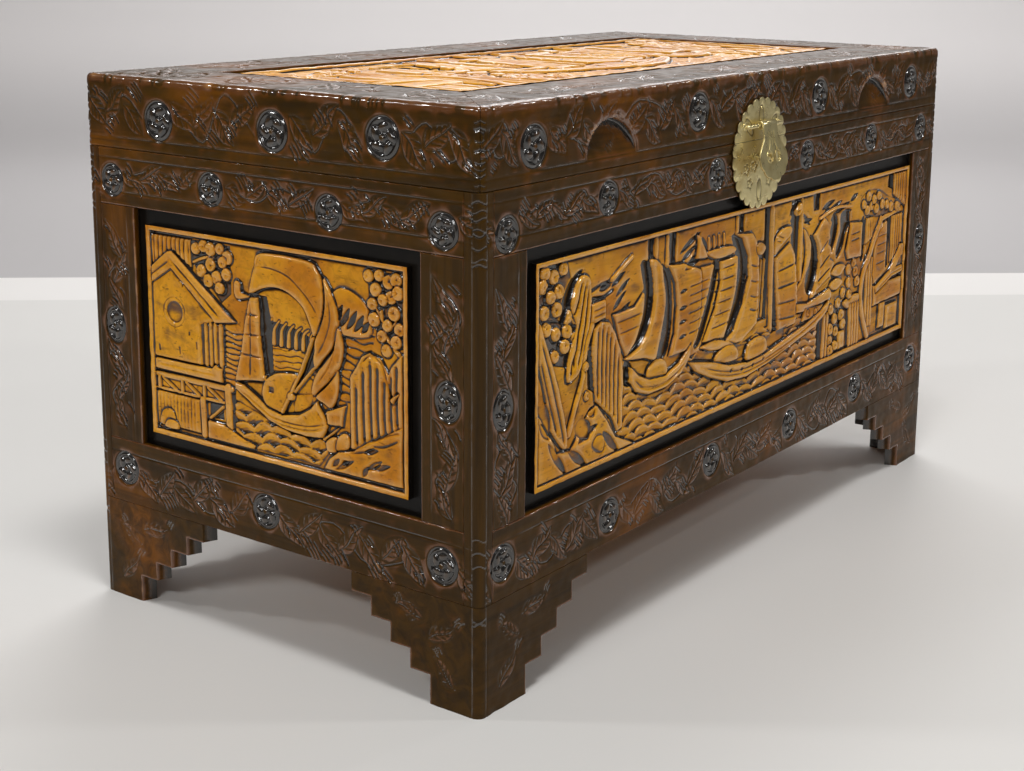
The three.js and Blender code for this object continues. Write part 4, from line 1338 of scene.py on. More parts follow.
    # Rock pillars on the right, and the tree above them.
    s.shape([(85.6, 4.5), (97.6, 4.5), (97.6, 36), (91, 36), (86, 24)], -4.2, moat=0)
    s.bar([(97, 39), (93.5, 34), (91.5, 29.5), (90.3, 21)], 4.2, -1.3, True, taper=0.4)
    s.bar([(91.6, 30), (94.6, 26), (96, 22)], 3.2, -1.5, True, taper=0.4)
    s.bar([(90.8, 25), (88.4, 20)], 2.8, -1.6, taper=0.4)
    s.discs([(86.2, 6.6), (90, 5.6), (93, 8), (95.8, 6.6), (88.6, 12), (93.8, 14.4), (96.4, 12),
             (87.2, 18.4), (91, 16), (94.8, 21), (87.9, 25), (92.6, 26.6), (96.6, 27.6),
             (90.5, 31.6), (92.2, 37.4), (95.6, 33)], 7.0)
    pillars = [(79.4, 84), (79.4, 52), (81.6, 47), (83.6, 42), (86, 40), (90, 41.4), (92.8, 48),
               (94, 44), (97.6, 38), (97.6, 70), (90, 76), (81.6, 84)]
    s.shape(pillars, -1.1, dome=0.5, moat=2.2)
    for k, x in enumerate((81.4, 84, 86.6, 89, 91.4, 93.6, 95.6)):
        foot = 83 - 1.9 * k
        head = (55, 47, 43.5, 44.5, 50, 47, 42)[k]
        s.cuts([[(x, head), (x - 0.2, (head + foot) / 2), (x + 0.2, foot)]], 3.0, 2.3)
    s.cuts([[(83.6, 45), (86.6, 40.8), (90.6, 44), (93, 54), (94.6, 62)]], 2.2, 1.4)
    s.shape([(93.4, 58), (96.4, 55), (94.4, 60)], -0.8)
    # Bank with leaf blades at the lower right.
    bank = [(69.4, 96), (71.4, 91), (74.6, 87), (80, 85), (86, 79), (91, 75), (97.6, 69.5),
            (97.6, 96)]
    s.shape(bank, -1.3, moat=1.8)
    s.cuts([[(87, 80.6), (91.5, 79.4), (96.8, 75.2)], [(86, 79.4), (93, 74), (97, 72)],
            [(78, 86.4), (84, 84), (88, 81)]], 2.0, 1.0)
    s.blades([((72.6, 94), (75.2, 89.8)), ((73.6, 95.2), (80.6, 89)), ((76, 92), (78.4, 90)),
              ((83.4, 95.5), (85.6, 90)), ((85.2, 91.5), (90.6, 86.2)), ((87, 91), (93.6, 87.4)),
              ((84.2, 84.4), (89.4, 81.8))], 6.4)
    s.border()
    return r.finished(DEEP)


def front_scene(width, height, step, mirrored=False):
    """Junks under sail on open water between rocks and trees, with a pavilion at one end."""
    s = Scene(width, height, step, mirrored)
    r = s.relief
    unit = height / DRAWN_HEIGHT
    # Calm sky strips behind the masts, and dark gaps between them.
    for x0, x1, foot in ((23.4, 24.9, 15), (28.4, 30.2, 18), (45.7, 47.5, 12), (53.1, 54.6, 62),
                         (67.6, 69.8, 12), (60.9, 63.4, 50)):
        s.shape([(x0, 2.6), (x1, 2.6), (x1 - 0.2, foot), (x0 + 0.2, foot)], DEEP, moat=0)
    for x in (25.3, 27.8, 45.3):
        s.bar([(x, 2.6), (x, 20)], 5 * unit, -1.4)
    # Water.
    s.shape([(17.4, 66), (71, 66), (71, 97.5), (17.4, 97.5)], -2.4, moat=0)
    r.scales(s.mm([(17.6, 66), (71, 66), (71, 97.5), (17.6, 97.5)]), 28 * unit, 10 * unit, 3.4)
    # Left tree, its arched boughs and dark ground.
    s.shape([(0.7, 3), (6.5, 3), (8.5, 20), (9, 40), (6.5, 50), (3, 46), (0.7, 30)], -4.4, moat=0)
    s.discs([(1.9, 5.2), (3.8, 8), (5.6, 5.4), (1.5, 11), (3.1, 16.4), (4.8, 15), (2.0, 22.6),
             (4.4, 22.6), (6.4, 27.2), (8.1, 28.8), (4.2, 33.2), (6.4, 33.6), (8, 37.6),
             (5.9, 39.8), (4, 43), (2.4, 30)], 7.4 * unit)
    s.cuts([[(0.9, 20), (1.4, 14), (3, 11.6), (4.8, 13), (5.6, 18)],
            [(1, 31), (2.6, 27.4), (4.6, 28), (6.4, 31)]], 1.8, 1.2)
    # Pointed rock and the dark hollow beside it.
    s.blob([(5.4, 22), (7.6, 10.6), (9.6, 8.6), (8.2, 14), (6.8, 24), (5.8, 30)], DEEP, moat=0)
    rock = [(6.4, 56), (6.9, 43), (8.2, 33), (7.2, 24), (7.9, 15.6), (9.2, 11), (10.6, 12.4),
            (11, 20), (11, 29), (9.9, 43), (8.7, 53.6)]
    s.blob(rock, -1.0, dome=0.6, moat=2.6)
    s.cuts([[(9.2, 13), (8.4, 22), (7.6, 28)], [(9.9, 14), (9.2, 26), (8.2, 40), (7.6, 52)],
            [(10.5, 16), (10.1, 28), (9.2, 42), (8.5, 51)],
            [(8.2, 42), (7.4, 48), (7.0, 54)]], 2.6, 2.0)
    s.shape([(11.2, 25), (14.2, 24.6), (14.2, 33), (11, 34)], -1.4)
    s.cuts([[(11.4, 28), (14, 27.6)], [(11.4, 30.8), (14, 30.4)]], 1.5, 0.8)
    s.cuts([[(11.2, 19.4), (13.6, 17.6), (16, 17)], [(11.4, 22.6), (14, 23.4), (16.4, 21)]],
           3.0, 1.8)
    s.bar([(15.6, 16.6), (17.6, 12.6), (19.8, 8.6)], 5 * unit, -1.2, True)
    s.blades([((15.6, 20), (18.6, 14.6)), ((16.6, 25), (19.6, 18.4)), ((16, 31), (18.8, 23.6)),
              ((17, 35.4), (19.8, 29.4)), ((13, 20), (15.6, 19))], 7 * unit)
    # Grooved pillar with a trunk curving past it.
    s.shape([(10.6, 46), (12.4, 44), (12.4, 66), (10.9, 63)], DEEP, moat=0)
    pillar = [(12.4, 70), (11.9, 56), (11.4, 44), (11.8, 36.4), (13.2, 34), (14.9, 35.4),
              (16.2, 41), (17.4, 50), (18.0, 61), (18.0, 87), (17.0, 88), (15.8, 80)]
    s.shape(pillar, -1.0, dome=0.6, moat=2.6)
    for x, head, foot in ((12.7, 37, 70), (13.6, 36, 74), (14.5, 38, 77), (15.3, 41, 80),
                          (16.2, 45, 82), (17.1, 52, 86)):
        s.cuts([[(x, head), (x - 0.1, (head + foot) / 2), (x + 0.1, foot)]], 3.0, 2.4)
    s.bar([(11.3, 34.6), (10.2, 43), (9.7, 57), (8.2, 69), (6.9, 80)], 8 * unit, -0.8, True,
          crown=0.9)
    s.cuts([[(10.6, 42), (10.1, 55), (8.8, 67), (7.6, 76)]], 1.6, 1.0)
    s.discs([(10.6, 66), (10.2, 52)], 5.5 * unit, -1.8)
    # Long blade leaves and the bank at the lower left.
    s.blob([(0.8, 26), (1.7, 32), (3.4, 46), (5, 61), (6.4, 80), (6.2, 86), (5, 83), (3, 73),
            (2.4, 60), (0.9, 42)], -0.9, dome=0.4, moat=2.8)
    s.cuts([[(1.3, 34), (3.2, 52), (5.0, 72), (5.9, 84)],
            [(1.2, 42), (2.8, 60), (4.4, 78)]], 2.4, 1.8)
    s.blob([(0.8, 56), (2, 60), (3.2, 68), (3.2, 77), (1.8, 70), (0.8, 64)], -3.6, moat=0.4)
    bank = [(0.7, 97.4), (0.7, 66), (2.4, 74), (4.8, 87), (7.4, 88), (9.4, 80), (11.2, 74),
            (12.6, 72), (14.6, 80), (16.6, 90), (21, 97.4)]
    s.shape(bank, -1.2, moat=2.4)
    s.blades([((2.6, 80), (6.4, 98)), ((6.6, 87), (10.6, 98)), ((13.8, 85), (17.4, 98)),
              ((8.6, 86), (12.6, 80.4)), ((1, 70), (3, 79)), ((11, 76), (12.4, 72.6))], 11 * unit,
             depth=2.8)
    s.blob([(9, 84), (8.4, 78), (9.8, 75), (11.4, 79), (11, 86)], -3.8, moat=0.4)
    s.blob([(11.6, 90), (12.6, 86), (14, 88), (13.6, 94)], -0.9, dome=0.8, moat=1.4)
    # First junk.
    sail = [(15.9, 33), (20.5, 32.4), (22.6, 27), (22.4, 38), (21, 48), (18.8, 54.6), (17.4, 47)]
    s.shape(sail, -1.6)
    s.cuts([[(16.4, 37), (22, 36)], [(17, 42.6), (21.6, 41.6)]], 1.5, 0.8)
    s.blob([(24.0, 13), (26.4, 16.4), (27.5, 26), (27.3, 40), (26.6, 52), (25.3, 60.4),
            (22.6, 58), (18.6, 55.6), (21.8, 52), (24.0, 43), (24.9, 29)], -0.8, moat=2.4)
    s.blob([(21.9, 13.6), (23.4, 12.8), (24.4, 18.6), (24.7, 30), (23.8, 43), (21.7, 51.4),
            (18.9, 54.4), (20.8, 47.6), (22.2, 37), (22.7, 25)], DEEP, moat=0)
    s.blob([(26.4, 17.4), (27.9, 18.6), (29.1, 26), (29.6, 38), (29.4, 51), (28.2, 61.6),
            (25.5, 61), (26.4, 48), (27.4, 35)], DEEP, moat=0)
    s.bar([(27.7, 32), (26.7, 52)], 3 * unit, -3.0, moat=0.3)
    # Second sail group.
    s.shape([(28.3, 18), (31.8, 19), (35.8, 24), (36.5, 32), (36.4, 44), (35.3, 58),
             (33.6, 64), (28.6, 63.4), (29.9, 52), (30.2, 38), (29.7, 27)], -0.7, moat=2.4)
    s.shape([(36.2, 23.6), (39.2, 23.8), (38, 38), (35.6, 57), (34.4, 62), (36.2, 44)], -1.5,
            moat=1.4)
    for v in (31, 35.4, 39.6, 44, 49, 54):
        s.cuts([[(32.8, v), (38.2, v - 0.8)]], 1.5, 0.8)
    s.blades([((30.6, v), (32.4, v - 0.6)) for v in (32.4, 40.6, 47.4, 54.6)], 5 * unit)
    s.blob([(39.3, 23.2), (40.8, 24.6), (39.9, 40), (36.9, 61), (35, 61.6), (37.4, 42)], DEEP,
           moat=0)
    s.shape([(41, 23.6), (45.3, 23), (45.2, 38), (44.2, 52), (42.2, 63), (37.2, 61.6),
             (40, 46), (41.1, 34)], -0.9, moat=1.8)
    for v in (27.4, 33, 38.6, 44.2, 50, 56):
        s.cuts([[(40.4 - (v - 27) * 0.06, v), (44.6 - (v - 27) * 0.04, v - 0.6)]], 1.6, 0.9)
    s.shape([(44.9, 12.4), (49.3, 13.8), (50.5, 18), (51.3, 30), (51.5, 46), (51.2, 62),
             (47, 68.5), (42.2, 67.6), (45, 61.5), (47.4, 49), (48.7, 36), (48.4, 25),
             (46.8, 15)], -0.6, dome=0.7, moat=2.4)
    for v in (30, 38, 46, 53):
        s.cuts([[(49, v), (50.2, v + 1.4), (51.3, v + 2)]], 1.8, 1.0)
    s.blob([(44.1, 12.6), (46.4, 14.6), (48, 25), (48.3, 36.4), (47, 49), (44.6, 61),
            (42, 66.6), (43.6, 52), (45.1, 37.4), (45.4, 23)], DEEP, moat=0)
    s.blob([(36.8, 64), (40, 62.4), (43.6, 66), (45.6, 70), (42, 71), (38, 66)], -1.3)
    # Flags and pennants in the sky.
    s.blades([((31, 14), (36, 6)), ((31.4, 18), (35, 12)), ((33, 20), (37, 15.6)),
              ((36.4, 9), (38, 18)), ((31.6, 22), (36, 19.6))], 8 * unit, depth=2.4)
    s.shape([(35.2, 6.6), (37.8, 19.6), (34.8, 18.6)], -1.0)
    for x in (38, 39.3, 40.6, 41.9):
        s.bar([(x, 10.4), (x + 0.2, 16.6)], 4 * unit, -1.8)
    s.blob([(37.6, 17.4), (41, 16.6), (44.6, 18), (44.4, 21), (40, 21.6)], -1.2, dome=0.5)
    # Mast, narrow gaps and the battened sail beside it.
    s.shape([(51.8, 20), (54.2, 20), (54, 40), (53.4, 62), (51.6, 62)], DEEP, moat=0)
    for x in (52.4, 53.3):
        s.bar([(x + 0.3, 30), (x - 0.2, 60)], 2.6 * unit, -3.2, moat=0.2)
    s.blob([(50.6, 21), (52, 20), (53.2, 23), (52.2, 26.6), (50.8, 25)], -1.2, dome=0.8)
    s.shape([(55.6, 30), (57.8, 77), (56.6, 77), (55.4, 50)], DEEP, moat=0)
    s.shape([(56, 31), (60.4, 25), (61.8, 32), (62.7, 50), (63.3, 66), (62.3, 70.4), (57.7, 71),
             (56.7, 49)], -0.9, moat=2.0)
    for v0, v1 in ((38.4, 36.6), (47.6, 47.2), (56, 57), (64.4, 66)):
        s.cuts([[(56.6, v0), (62.6, v1)]], 2.0, 1.1, False)
    s.blob([(55.6, 24), (57.4, 17), (60.6, 16.4), (60.4, 21), (57.6, 25.4), (55.9, 29)], -1.0,
           dome=0.5)
    s.cuts([[(56, 21.6), (57.6, 23)], [(56.6, 19), (58.4, 21.4)]], 1.6, 1.0)
    s.bar([(54.9, 3), (55.2, 67)], 6.5 * unit, -0.3, moat=1.6)
    s.bar([(63.9, 3.4), (63.9, 47)], 6 * unit, -1.3)
    s.blob([(61.8, 9), (63.2, 4.6), (63.6, 9), (62.6, 12)], -0.9, dome=0.6)
    s.blades([((60.6, 14), (63, 8.6)), ((60.4, 11), (61.4, 6)), ((64.8, 16.6), (67.4, 16)),
              ((64.6, 12), (66.8, 19))], 7 * unit)
    # Curved sail with jagged battens.
    s.blob([(62.9, 54), (64.6, 48), (66.4, 41), (67, 34), (66.6, 27), (64.6, 20), (65.4, 32),
            (64.8, 44)], -1.0, dome=0.4, moat=1.6)
    s.shape([(67.9, 25), (70.9, 16.6), (72.2, 20), (73.0, 29), (72.3, 32), (73.9, 36),
             (73, 41), (74.8, 44), (73.4, 48.6), (74.4, 52), (67.4, 60), (69, 48), (69.3, 36)],
            -0.7, dome=0.5, moat=2.6)
    s.cuts([[(69.4, 37), (72.4, 30)], [(69.5, 45), (73.4, 38)], [(69, 52), (73.6, 46)],
            [(68.4, 57.6), (73.8, 51)]], 2.2, 1.3, False)
    s.blob([(66.8, 24.6), (68.4, 28), (69.5, 37.4), (69.2, 48), (67.6, 58), (65.9, 53),
            (66.3, 43), (67, 34)], DEEP, moat=0)
    s.shape([(62.8, 60), (66.4, 62), (74, 58), (74.2, 64), (66, 66), (62.8, 65)], -1.0)
    s.shape([(65.6, 64.6), (71.8, 66), (70.6, 71), (65, 71.4)], -1.9)
    s.discs([(66.8, 67.6), (69.2, 68.4)], 5 * unit, -1.4)
    # Pine twigs and dark hollows right of the sails.
    s.blades([((70.4, 12.4), (74.6, 9)), ((72, 16), (77, 10.4)), ((74.6, 17), (79.6, 12.4)),
              ((70.8, 16.6), (73, 12.6)), ((77, 18.4), (80.4, 17.4)), ((73.4, 20.4), (75.6, 15.6)),
              ((79.8, 12), (82.4, 9))], 8 * unit, depth=2.6)
    s.bar([(69.8, 17), (75, 13.6), (80, 15)], 3.6 * unit, -1.1, True)
    s.blob([(74, 20), (75.4, 17.4), (76, 23), (75.4, 32), (74, 39), (73.2, 33)], DEEP, moat=0)
    s.blob([(76.8, 18), (79.6, 17), (80, 24), (78.8, 30), (77.8, 38), (76, 43), (75.6, 37),
            (76.8, 28)], DEEP, moat=0)
    s.shape([(80.1, 24.6), (83.8, 26), (83.8, 46), (79.2, 45), (78.6, 40)], -1.4)
    s.cuts([[(80.2, 31.4), (83, 31)], [(80, 35), (82.8, 34.8)]], 1.5, 0.8)
    s.blob([(84, 24.6), (85.3, 26), (85.4, 46), (84.2, 49), (83.8, 38)], DEEP, moat=0)
    s.shape([(73.8, 48.4), (79, 48), (79, 59.4), (74, 59.6)], -3.8, moat=0.6)
    s.blob([(73.8, 50), (76, 46.4), (78.4, 48), (76.6, 53)], -1.4, dome=0.7)
    s.blob([(73.6, 57), (76, 54), (78, 57), (75.6, 60.6)], -1.6, dome=0.7)
    # Rocks and the round-leaf bush in front of them.
    s.shape([(70, 74), (71.6, 74), (71.6, 97.4), (70.2, 97.4)], DEEP, moat=0)
    s.shape([(71.6, 71), (84.4, 66), (84.8, 97.4), (71.6, 97.4)], -4.2, moat=0)
    s.blob([(78.6, 70), (81, 67.6), (84.2, 68), (84.2, 74), (80, 74)], -1.2, dome=0.6)
    for x in (71.9, 72.9):
        s.bar([(x + 0.5, 73), (x + 0.3, 97)], 6.4 * unit, -1.2, crown=0.9)
    for x in (80.9, 81.8, 82.7, 83.6):
        s.bar([(x, 73), (x + 0.3, 97)], 6.4 * unit, -1.0, crown=0.9)
    s.shape([(77.1, 86), (79.2, 86), (79.2, 96), (77.1, 96)], -1.2)
    s.discs([(79.9, 51.4), (81.7, 48.6), (80.1, 59), (78.2, 63.8), (80.3, 66), (76.7, 68.6),
             (74.3, 71), (75.8, 77.2), (78, 76.4), (74.4, 82.4), (76.5, 85), (78.6, 82),
             (74.4, 89), (74.6, 95), (76.2, 93), (82.4, 54), (83, 60)], 7.6 * unit)
    # Bent pine, with its canopy of round clusters.
    s.shape([(85.3, 47), (88.4, 44), (89, 90), (86.6, 91), (85, 76)], -3.9, moat=0.4)
    for x in (86.3, 87.2, 88.1):
        s.bar([(x, 50), (x + 0.3, 89)], 6.2 * unit, -1.2, crown=0.9)
    s.shape([(85.6, 25), (87.8, 25), (87.8, 37), (85.6, 40)], -1.8)
    r.reeds(s.mm([(85.4, 25), (88, 25), (88, 38), (85.4, 40)]), 6.0 * unit, 1.8)
    s.shape([(88.6, 38), (91.4, 31), (93, 30), (93, 60), (89, 66), (88.4, 60)], -1.8)
    for v in (38, 43, 48, 54):
        s.cuts([[(89.4, v), (92.8, v - 0.4)]], 1.4, 0.7)
    s.shape([(93.1, 28), (94.6, 28.6), (94.4, 58), (93.1, 60)], DEEP, moat=0)
    reeds = [(94.8, 28), (98.8, 28), (98.8, 48), (94.8, 56)]
    s.shape(reeds, -1.8)
    r.reeds(s.mm(reeds), 7.0 * unit, 2.2)
    s.shape([(93.2, 2.6), (94.8, 2.6), (94.8, 12), (93, 10)], DEEP, moat=0)
    reeds = [(94.9, 2.6), (99.4, 2.6), (99.4, 24), (94.9, 15)]
    s.shape(reeds, -1.6)
    r.reeds(s.mm(reeds), 7.0 * unit, 2.2)
    s.bar([(90.9, 28), (88.6, 38), (87.0, 47.4), (85.0, 57), (84.4, 68), (85.1, 80),
           (87.4, 96)], 9.5 * unit, -0.4, True, moat=2.4, crown=1.0)
    s.bar([(91, 28), (94, 26.6), (97.6, 25)], 5.5 * unit, -0.8, True)
    s.blob([(83.4, 14), (86, 9.6), (90, 10.6), (93.4, 16), (97.4, 19.6), (98, 24), (93, 26),
            (88.6, 25), (84.6, 20.6)], -3.6, moat=1.0)
    s.discs([(84.4, 16.4), (86, 12.4), (87.2, 18.4), (88.8, 20.6), (89.6, 13.6), (91, 19.2),
             (92.8, 20.2), (94.4, 22.4), (96.4, 22.8), (85.6, 20.2), (88, 15)], 6.6 * unit)
    # Pavilion.
    s.shape([(88.8, 66), (99.4, 58), (99.4, 96), (88.8, 96)], -3.9, moat=0.6)
    s.shape([(89, 67), (99.4, 67), (99.4, 78), (89, 79)], -1.4)
    s.shape([(91.6, 79), (93.4, 79), (93.2, 94), (91.4, 94)], -1.5)
    s.shape([(94, 82), (98.2, 82), (98.2, 96), (93.8, 96)], -1.3)
    s.shape([(99.4, 47), (98, 46.6), (94.6, 61), (89.4, 68), (89.6, 71.4), (95.4, 65),
             (99.4, 64)], -0.5, moat=2.4)
    s.shape([(98.6, 54), (99.4, 54), (99.4, 60), (96.6, 60)], -2.8, moat=0.6)
    s.cuts([[(90, 69.4), (95, 63.2), (99.2, 62)]], 1.6, 1.0, False)
    # Hulls over the water.
    s.blob([(18.5, 57.6), (20.2, 59), (20.6, 68), (18.6, 68)], DEEP, moat=0)
    s.shape([(20.6, 62), (33, 62), (32, 72), (21, 71)], -3.6, moat=0.6)
    cabin = [(23.6, 70), (23.8, 64.4), (25.6, 61.4), (27.6, 63), (28, 70), (25.8, 72)]
    s.blob(cabin, -1.2, dome=1.0, reach=10, moat=1.6)
    hull = [(19.8, 60), (21.6, 65.6), (24, 69.4), (27.8, 70.6), (31, 67), (33.6, 59.6),
            (33.4, 66), (31.4, 72.4), (28, 76.4), (23.8, 76.4), (21, 73), (19.6, 67)]
    s.shape(hull, -0.6, moat=2.6)
    s.cuts([[(20.2, 66), (22.4, 71.4), (26, 73.6), (29.6, 72), (32.6, 66.6)],
            [(21, 70), (24, 74), (28, 74), (31, 70.4)]], 1.5, 0.8)
    s.shape([(34, 70), (36, 66), (45, 70), (54, 72), (60, 70), (60, 78), (45, 78)], -3.8, moat=0.6)
    s.blob([(40.4, 75), (41, 69.6), (43.6, 68), (46, 71), (46, 77)], -1.1, dome=1.0, moat=1.6)
    s.blob([(48.8, 80), (49.2, 72), (51.6, 69.6), (54, 72), (54, 79)], -0.9, dome=1.0, moat=1.8)
    r.stipple(s.mm([(49.4, 73), (53.6, 72.6), (53.6, 79), (49.2, 80)]), 3.2, 0.14)
    hull = [(33.6, 69), (36.4, 71), (40, 74), (44, 78.6), (49, 81), (54, 80.6), (60, 77),
            (66, 73.6), (70.6, 69.4), (73.8, 64.6), (72.6, 71), (69, 77), (62, 81.6),
            (55, 86), (48.6, 88.4), (43.6, 86.6), (39, 81), (35, 74.6)]
    s.shape(hull, -0.5, moat=2.6)
    s.cuts([[(36, 73), (41, 79), (46.4, 83), (53, 83), (61, 79.2), (68, 74), (72.6, 68.4)],
            [(38, 77.6), (43, 83), (48.6, 85.6), (55, 84), (63, 79.6)]], 1.6, 0.9)
    s.discs([(44.4, 81.6), (47.4, 83.4), (50.4, 83.6), (53.4, 82.4)], 1.6, -0.9)
    s.border()
    return r.finished(DEEP)


def panel_piece(node, relief, place, material, body, splits=1):
    """A carved panel, split into a few boards glued side by side."""
    width, height = relief.width, relief.height
    marks = np.linspace(0, width, splits + 1)
    for k in range(splits):
        us = lines(marks[k], marks[k + 1], relief.step, (0.3, 0.8))
        vs = lines(0, height, relief.step, (0.3, 0.8))
        u, v = np.meshgrid(us, vs)
        h, crease = relief.at(u, v)
        edge = np.minimum(np.minimum(u, width - u), np.minimum(v, height - v))
        t = 1 - np.clip(edge / 0.9, 0, 1)
        h = h - 0.9 * (1 - np.sqrt(1 - t * t))
        # Painted shade on the panel's edges.
        crease = np.where(edge < 0.2, SHADE_BEHIND, crease)
        front, back = place(u, v, h), place(u, v, np.full_like(u, -PANEL_THICK))
        name = f"{node}_scene" if splits == 1 else f"{node}_scene_{k + 1}"
        piece = slab(name, front, back, crease)
        finish_piece(piece, material, body, "carved_wood", node)


def side_panel_place(side_name):
    """Where a carved panel's own u, v and height lie on its side."""
    side = SIDES[side_name]
    low, high = box_mm(f"carved_panel_{side_name}")
    corners = [(c - side.origin) @ side.along for c in (low, high)]
    depths = [(c - side.origin) @ side.out for c in (low, high)]

    def place(u, v, h):
        """Points in the part's frame, in millimetres."""
        return side.place(u + min(corners), v + low[2], h + max(depths))

    return place


def lid_panel_place(u, v, h):
    """The same for the panel in the lid."""
    low, high = box_mm("carved_panel_lid")
    return TOP.place(u + low[0] - LEFT, v + low[1] - FRONT, h + high[2] - LID_TOP)


def panel_size(node):
    """Width and height of a panel's face, which is its box without its thickness."""
    size = list(box_mm(node)[1] - box_mm(node)[0])
    size.remove(min(size))
    return size


END_STEP, FRONT_STEP, LID_STEP = 0.9, 0.95, 1.1  # spacing of the samples of each scene
FRONT_WIDTH = 851.0  # 8 mm more than the CAD's panel, at the right end


def build_panels():
    """The carved panels of both ends, the front and the lid."""
    for name, mirrored in (("left", False), ("right", True)):
        node = f"carved_panel_{name}"
        panel_piece(node, end_scene(*panel_size(node), END_STEP, mirrored),
                    side_panel_place(name), CARVED, "case")
    height = panel_size("carved_panel_front")[1]
    panel_piece("carved_panel_front", front_scene(FRONT_WIDTH, height, FRONT_STEP),
                side_panel_place("front"), CARVED, "case", 3)
    scene = front_scene(*panel_size("carved_panel_lid"), LID_STEP, True)
    panel_piece("carved_panel_lid", scene, lid_panel_place, CARVED, "lid", 2)


build_panels()


# ---- other wood ------------------------------------------------------------
BOARD_SEAMS = (0.235, 0.362)  # heights in metres where the wall boards are glued together


def board_wood(axis):
    """Case and lid boards: ebonised outside, bare camphorwood inside, with glued seams."""
    s = Shader(f"board_wood_{axis}")
    # A face is inside the chest if its normal points back towards the middle.
    normal = s.node("ShaderNodeTexCoord").outputs["Normal"]
    inside = s.between(s.dot(normal, s.stretched((1.0, 1.0, 0.25))), 0.0, -0.02)
    haze = s.noise(14.0, 4.0)
    dark = s.mix(s.between(haze, 0.4, 0.75), colour(14, 11, 8), colour(28, 22, 16))
    grain = wood_grain(s, axis, 7.0, 2.2)
    bare = s.mix(s.between(grain, 0.3, 0.7), colour(190, 150, 102), colour(146, 102, 62))
    bare = s.mix(s.between(s.noise(5.0, 3.0), 0.45, 0.75), bare, colour(164, 108, 70))
    parts = s.node("ShaderNodeSeparateXYZ", {0: s.place})
    seams = 0.0
    for height in BOARD_SEAMS:
        gap = s.math("ABSOLUTE", s.math("SUBTRACT", parts.outputs["Z"], height))
        seams = s.math("ADD", s.between(gap, 0.0011, 0.0004), seams)
    bare = s.mix(s.math("MULTIPLY", seams, 0.75), bare, colour(58, 38, 22))
    s.surface(Base_Color=s.mix(inside, dark, bare),
              Roughness=s.scaled(inside, 0.0, 1.0, 0.4, 0.62), Specular_IOR_Level=0.12,
              Coat_Weight=0.14, Coat_Roughness=0.12)
    s.bump(s.math("SUBTRACT", grain, seams), 0.2, 0.0006)
    return s.material


def repaint(node, material):
    """Gives a CAD node that is shown as it is a new material."""
    mesh_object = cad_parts[node]
    mesh_object.data.materials.clear()
    mesh_object.data.materials.append(material)


LENGTHWISE, ACROSS = board_wood("x"), board_wood("y")
for node_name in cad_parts:
    if node_name in ("wall_board_left", "wall_board_right"):
        repaint(node_name, ACROSS)
    elif node_name in ("wall_board_front", "wall_board_back", "lid_board"):
        repaint(node_name, LENGTHWISE)
    elif node_name.startswith(("floor_board", "cleat", "lip")):
        repaint(node_name, CAMPHOR)
    elif node_name.startswith(("lock", "hasp", "hinge")):
        repaint(node_name, BRASS)


# ---- brass -----------------------------------------------------------------
def polar_solid(name, front, back_loop, crease):
    """A closed disc from rings of front points, innermost first, and its outer edge behind."""
    rings, around = front.shape[:2]
    quads = grid_quads(rings, around, wrap=True)
    outer = (rings - 1) * around + np.arange(around)
    behind = rings * around + np.arange(around)
    wall = np.stack([outer, np.roll(outer, -1), np.roll(behind, -1), behind], axis=-1)
    points = np.vstack([front.reshape(-1, 3), back_loop])
    faces = [np.arange(around)[::-1], behind]
    return make_object(name, points, np.vstack([quads, wall])[:, ::-1], faces, len(quads),
                       crease.ravel())


def cut_at(piece, z, keep_above):
    """Cuts a piece at a level plane and closes the cut."""
    shape = bmesh.new()
    shape.from_mesh(piece.data)
    cut = bmesh.ops.bisect_plane(
        shape, geom=shape.verts[:] + shape.edges[:] + shape.faces[:], dist=1e-7,
        plane_co=(0, 0, z), plane_no=(0, 0, 1), clear_inner=keep_above,
        clear_outer=not keep_above)
    edges = [e for e in cut["geom_cut"] if isinstance(e, bmesh.types.BMEdge)]
    bmesh.ops.holes_fill(shape, edges=edges, sides=0)
    shape.to_mesh(piece.data)
    shape.free()


PLATE_RADIUS, PLATE_LOBES = 63.0, 26
PLATE_PETALS = (0.27, 0.5, 0.73, 1.5)  # bearings, in half turns
PLATE_FLOWERS = ((3.6, 0.55), (3.9, 0.3), (4.1, 0.62), (5.3, 0.62), (5.8, 0.5), (0.9, 0.4))


def plate_height(r, angle):
    """Engraving on the lock plate: a lobed rim, a few long petals and small punched flowers."""
    t = r / PLATE_RADIUS
    x, z = t * np.cos(angle), t * np.sin(angle)
    lobe = np.abs(np.sin(PLATE_LOBES / 2 * angle))
    h = 0.5 - 0.7 * (1 - lobe ** 0.5) * smooth((t - 0.86) / 0.05)
    for turn in PLATE_PETALS:
        a = math.pi * turn
        along, across = x * math.cos(a) + z * math.sin(a), z * math.cos(a) - x * math.sin(a)
        outline = np.hypot((along - 0.66) / 0.19, across / 0.08)
        h = h - 0.6 * np.exp(-((outline - 1) / 0.24) ** 2)
        h = h + 0.5 * np.exp(-(outline / 0.5) ** 2)
    for a, reach in PLATE_FLOWERS:
        dx, dz = x - reach * math.cos(a), z - reach * math.sin(a)
        d, around = np.hypot(dx, dz), np.arctan2(dz, dx)
        petal = 0.075 + 0.02 * np.cos(5 * around)
        h = h - 0.6 * np.exp(-((d - petal) / 0.018) ** 2)
        h = h + 0.5 * np.exp(-(d / 0.035) ** 2)
    return h


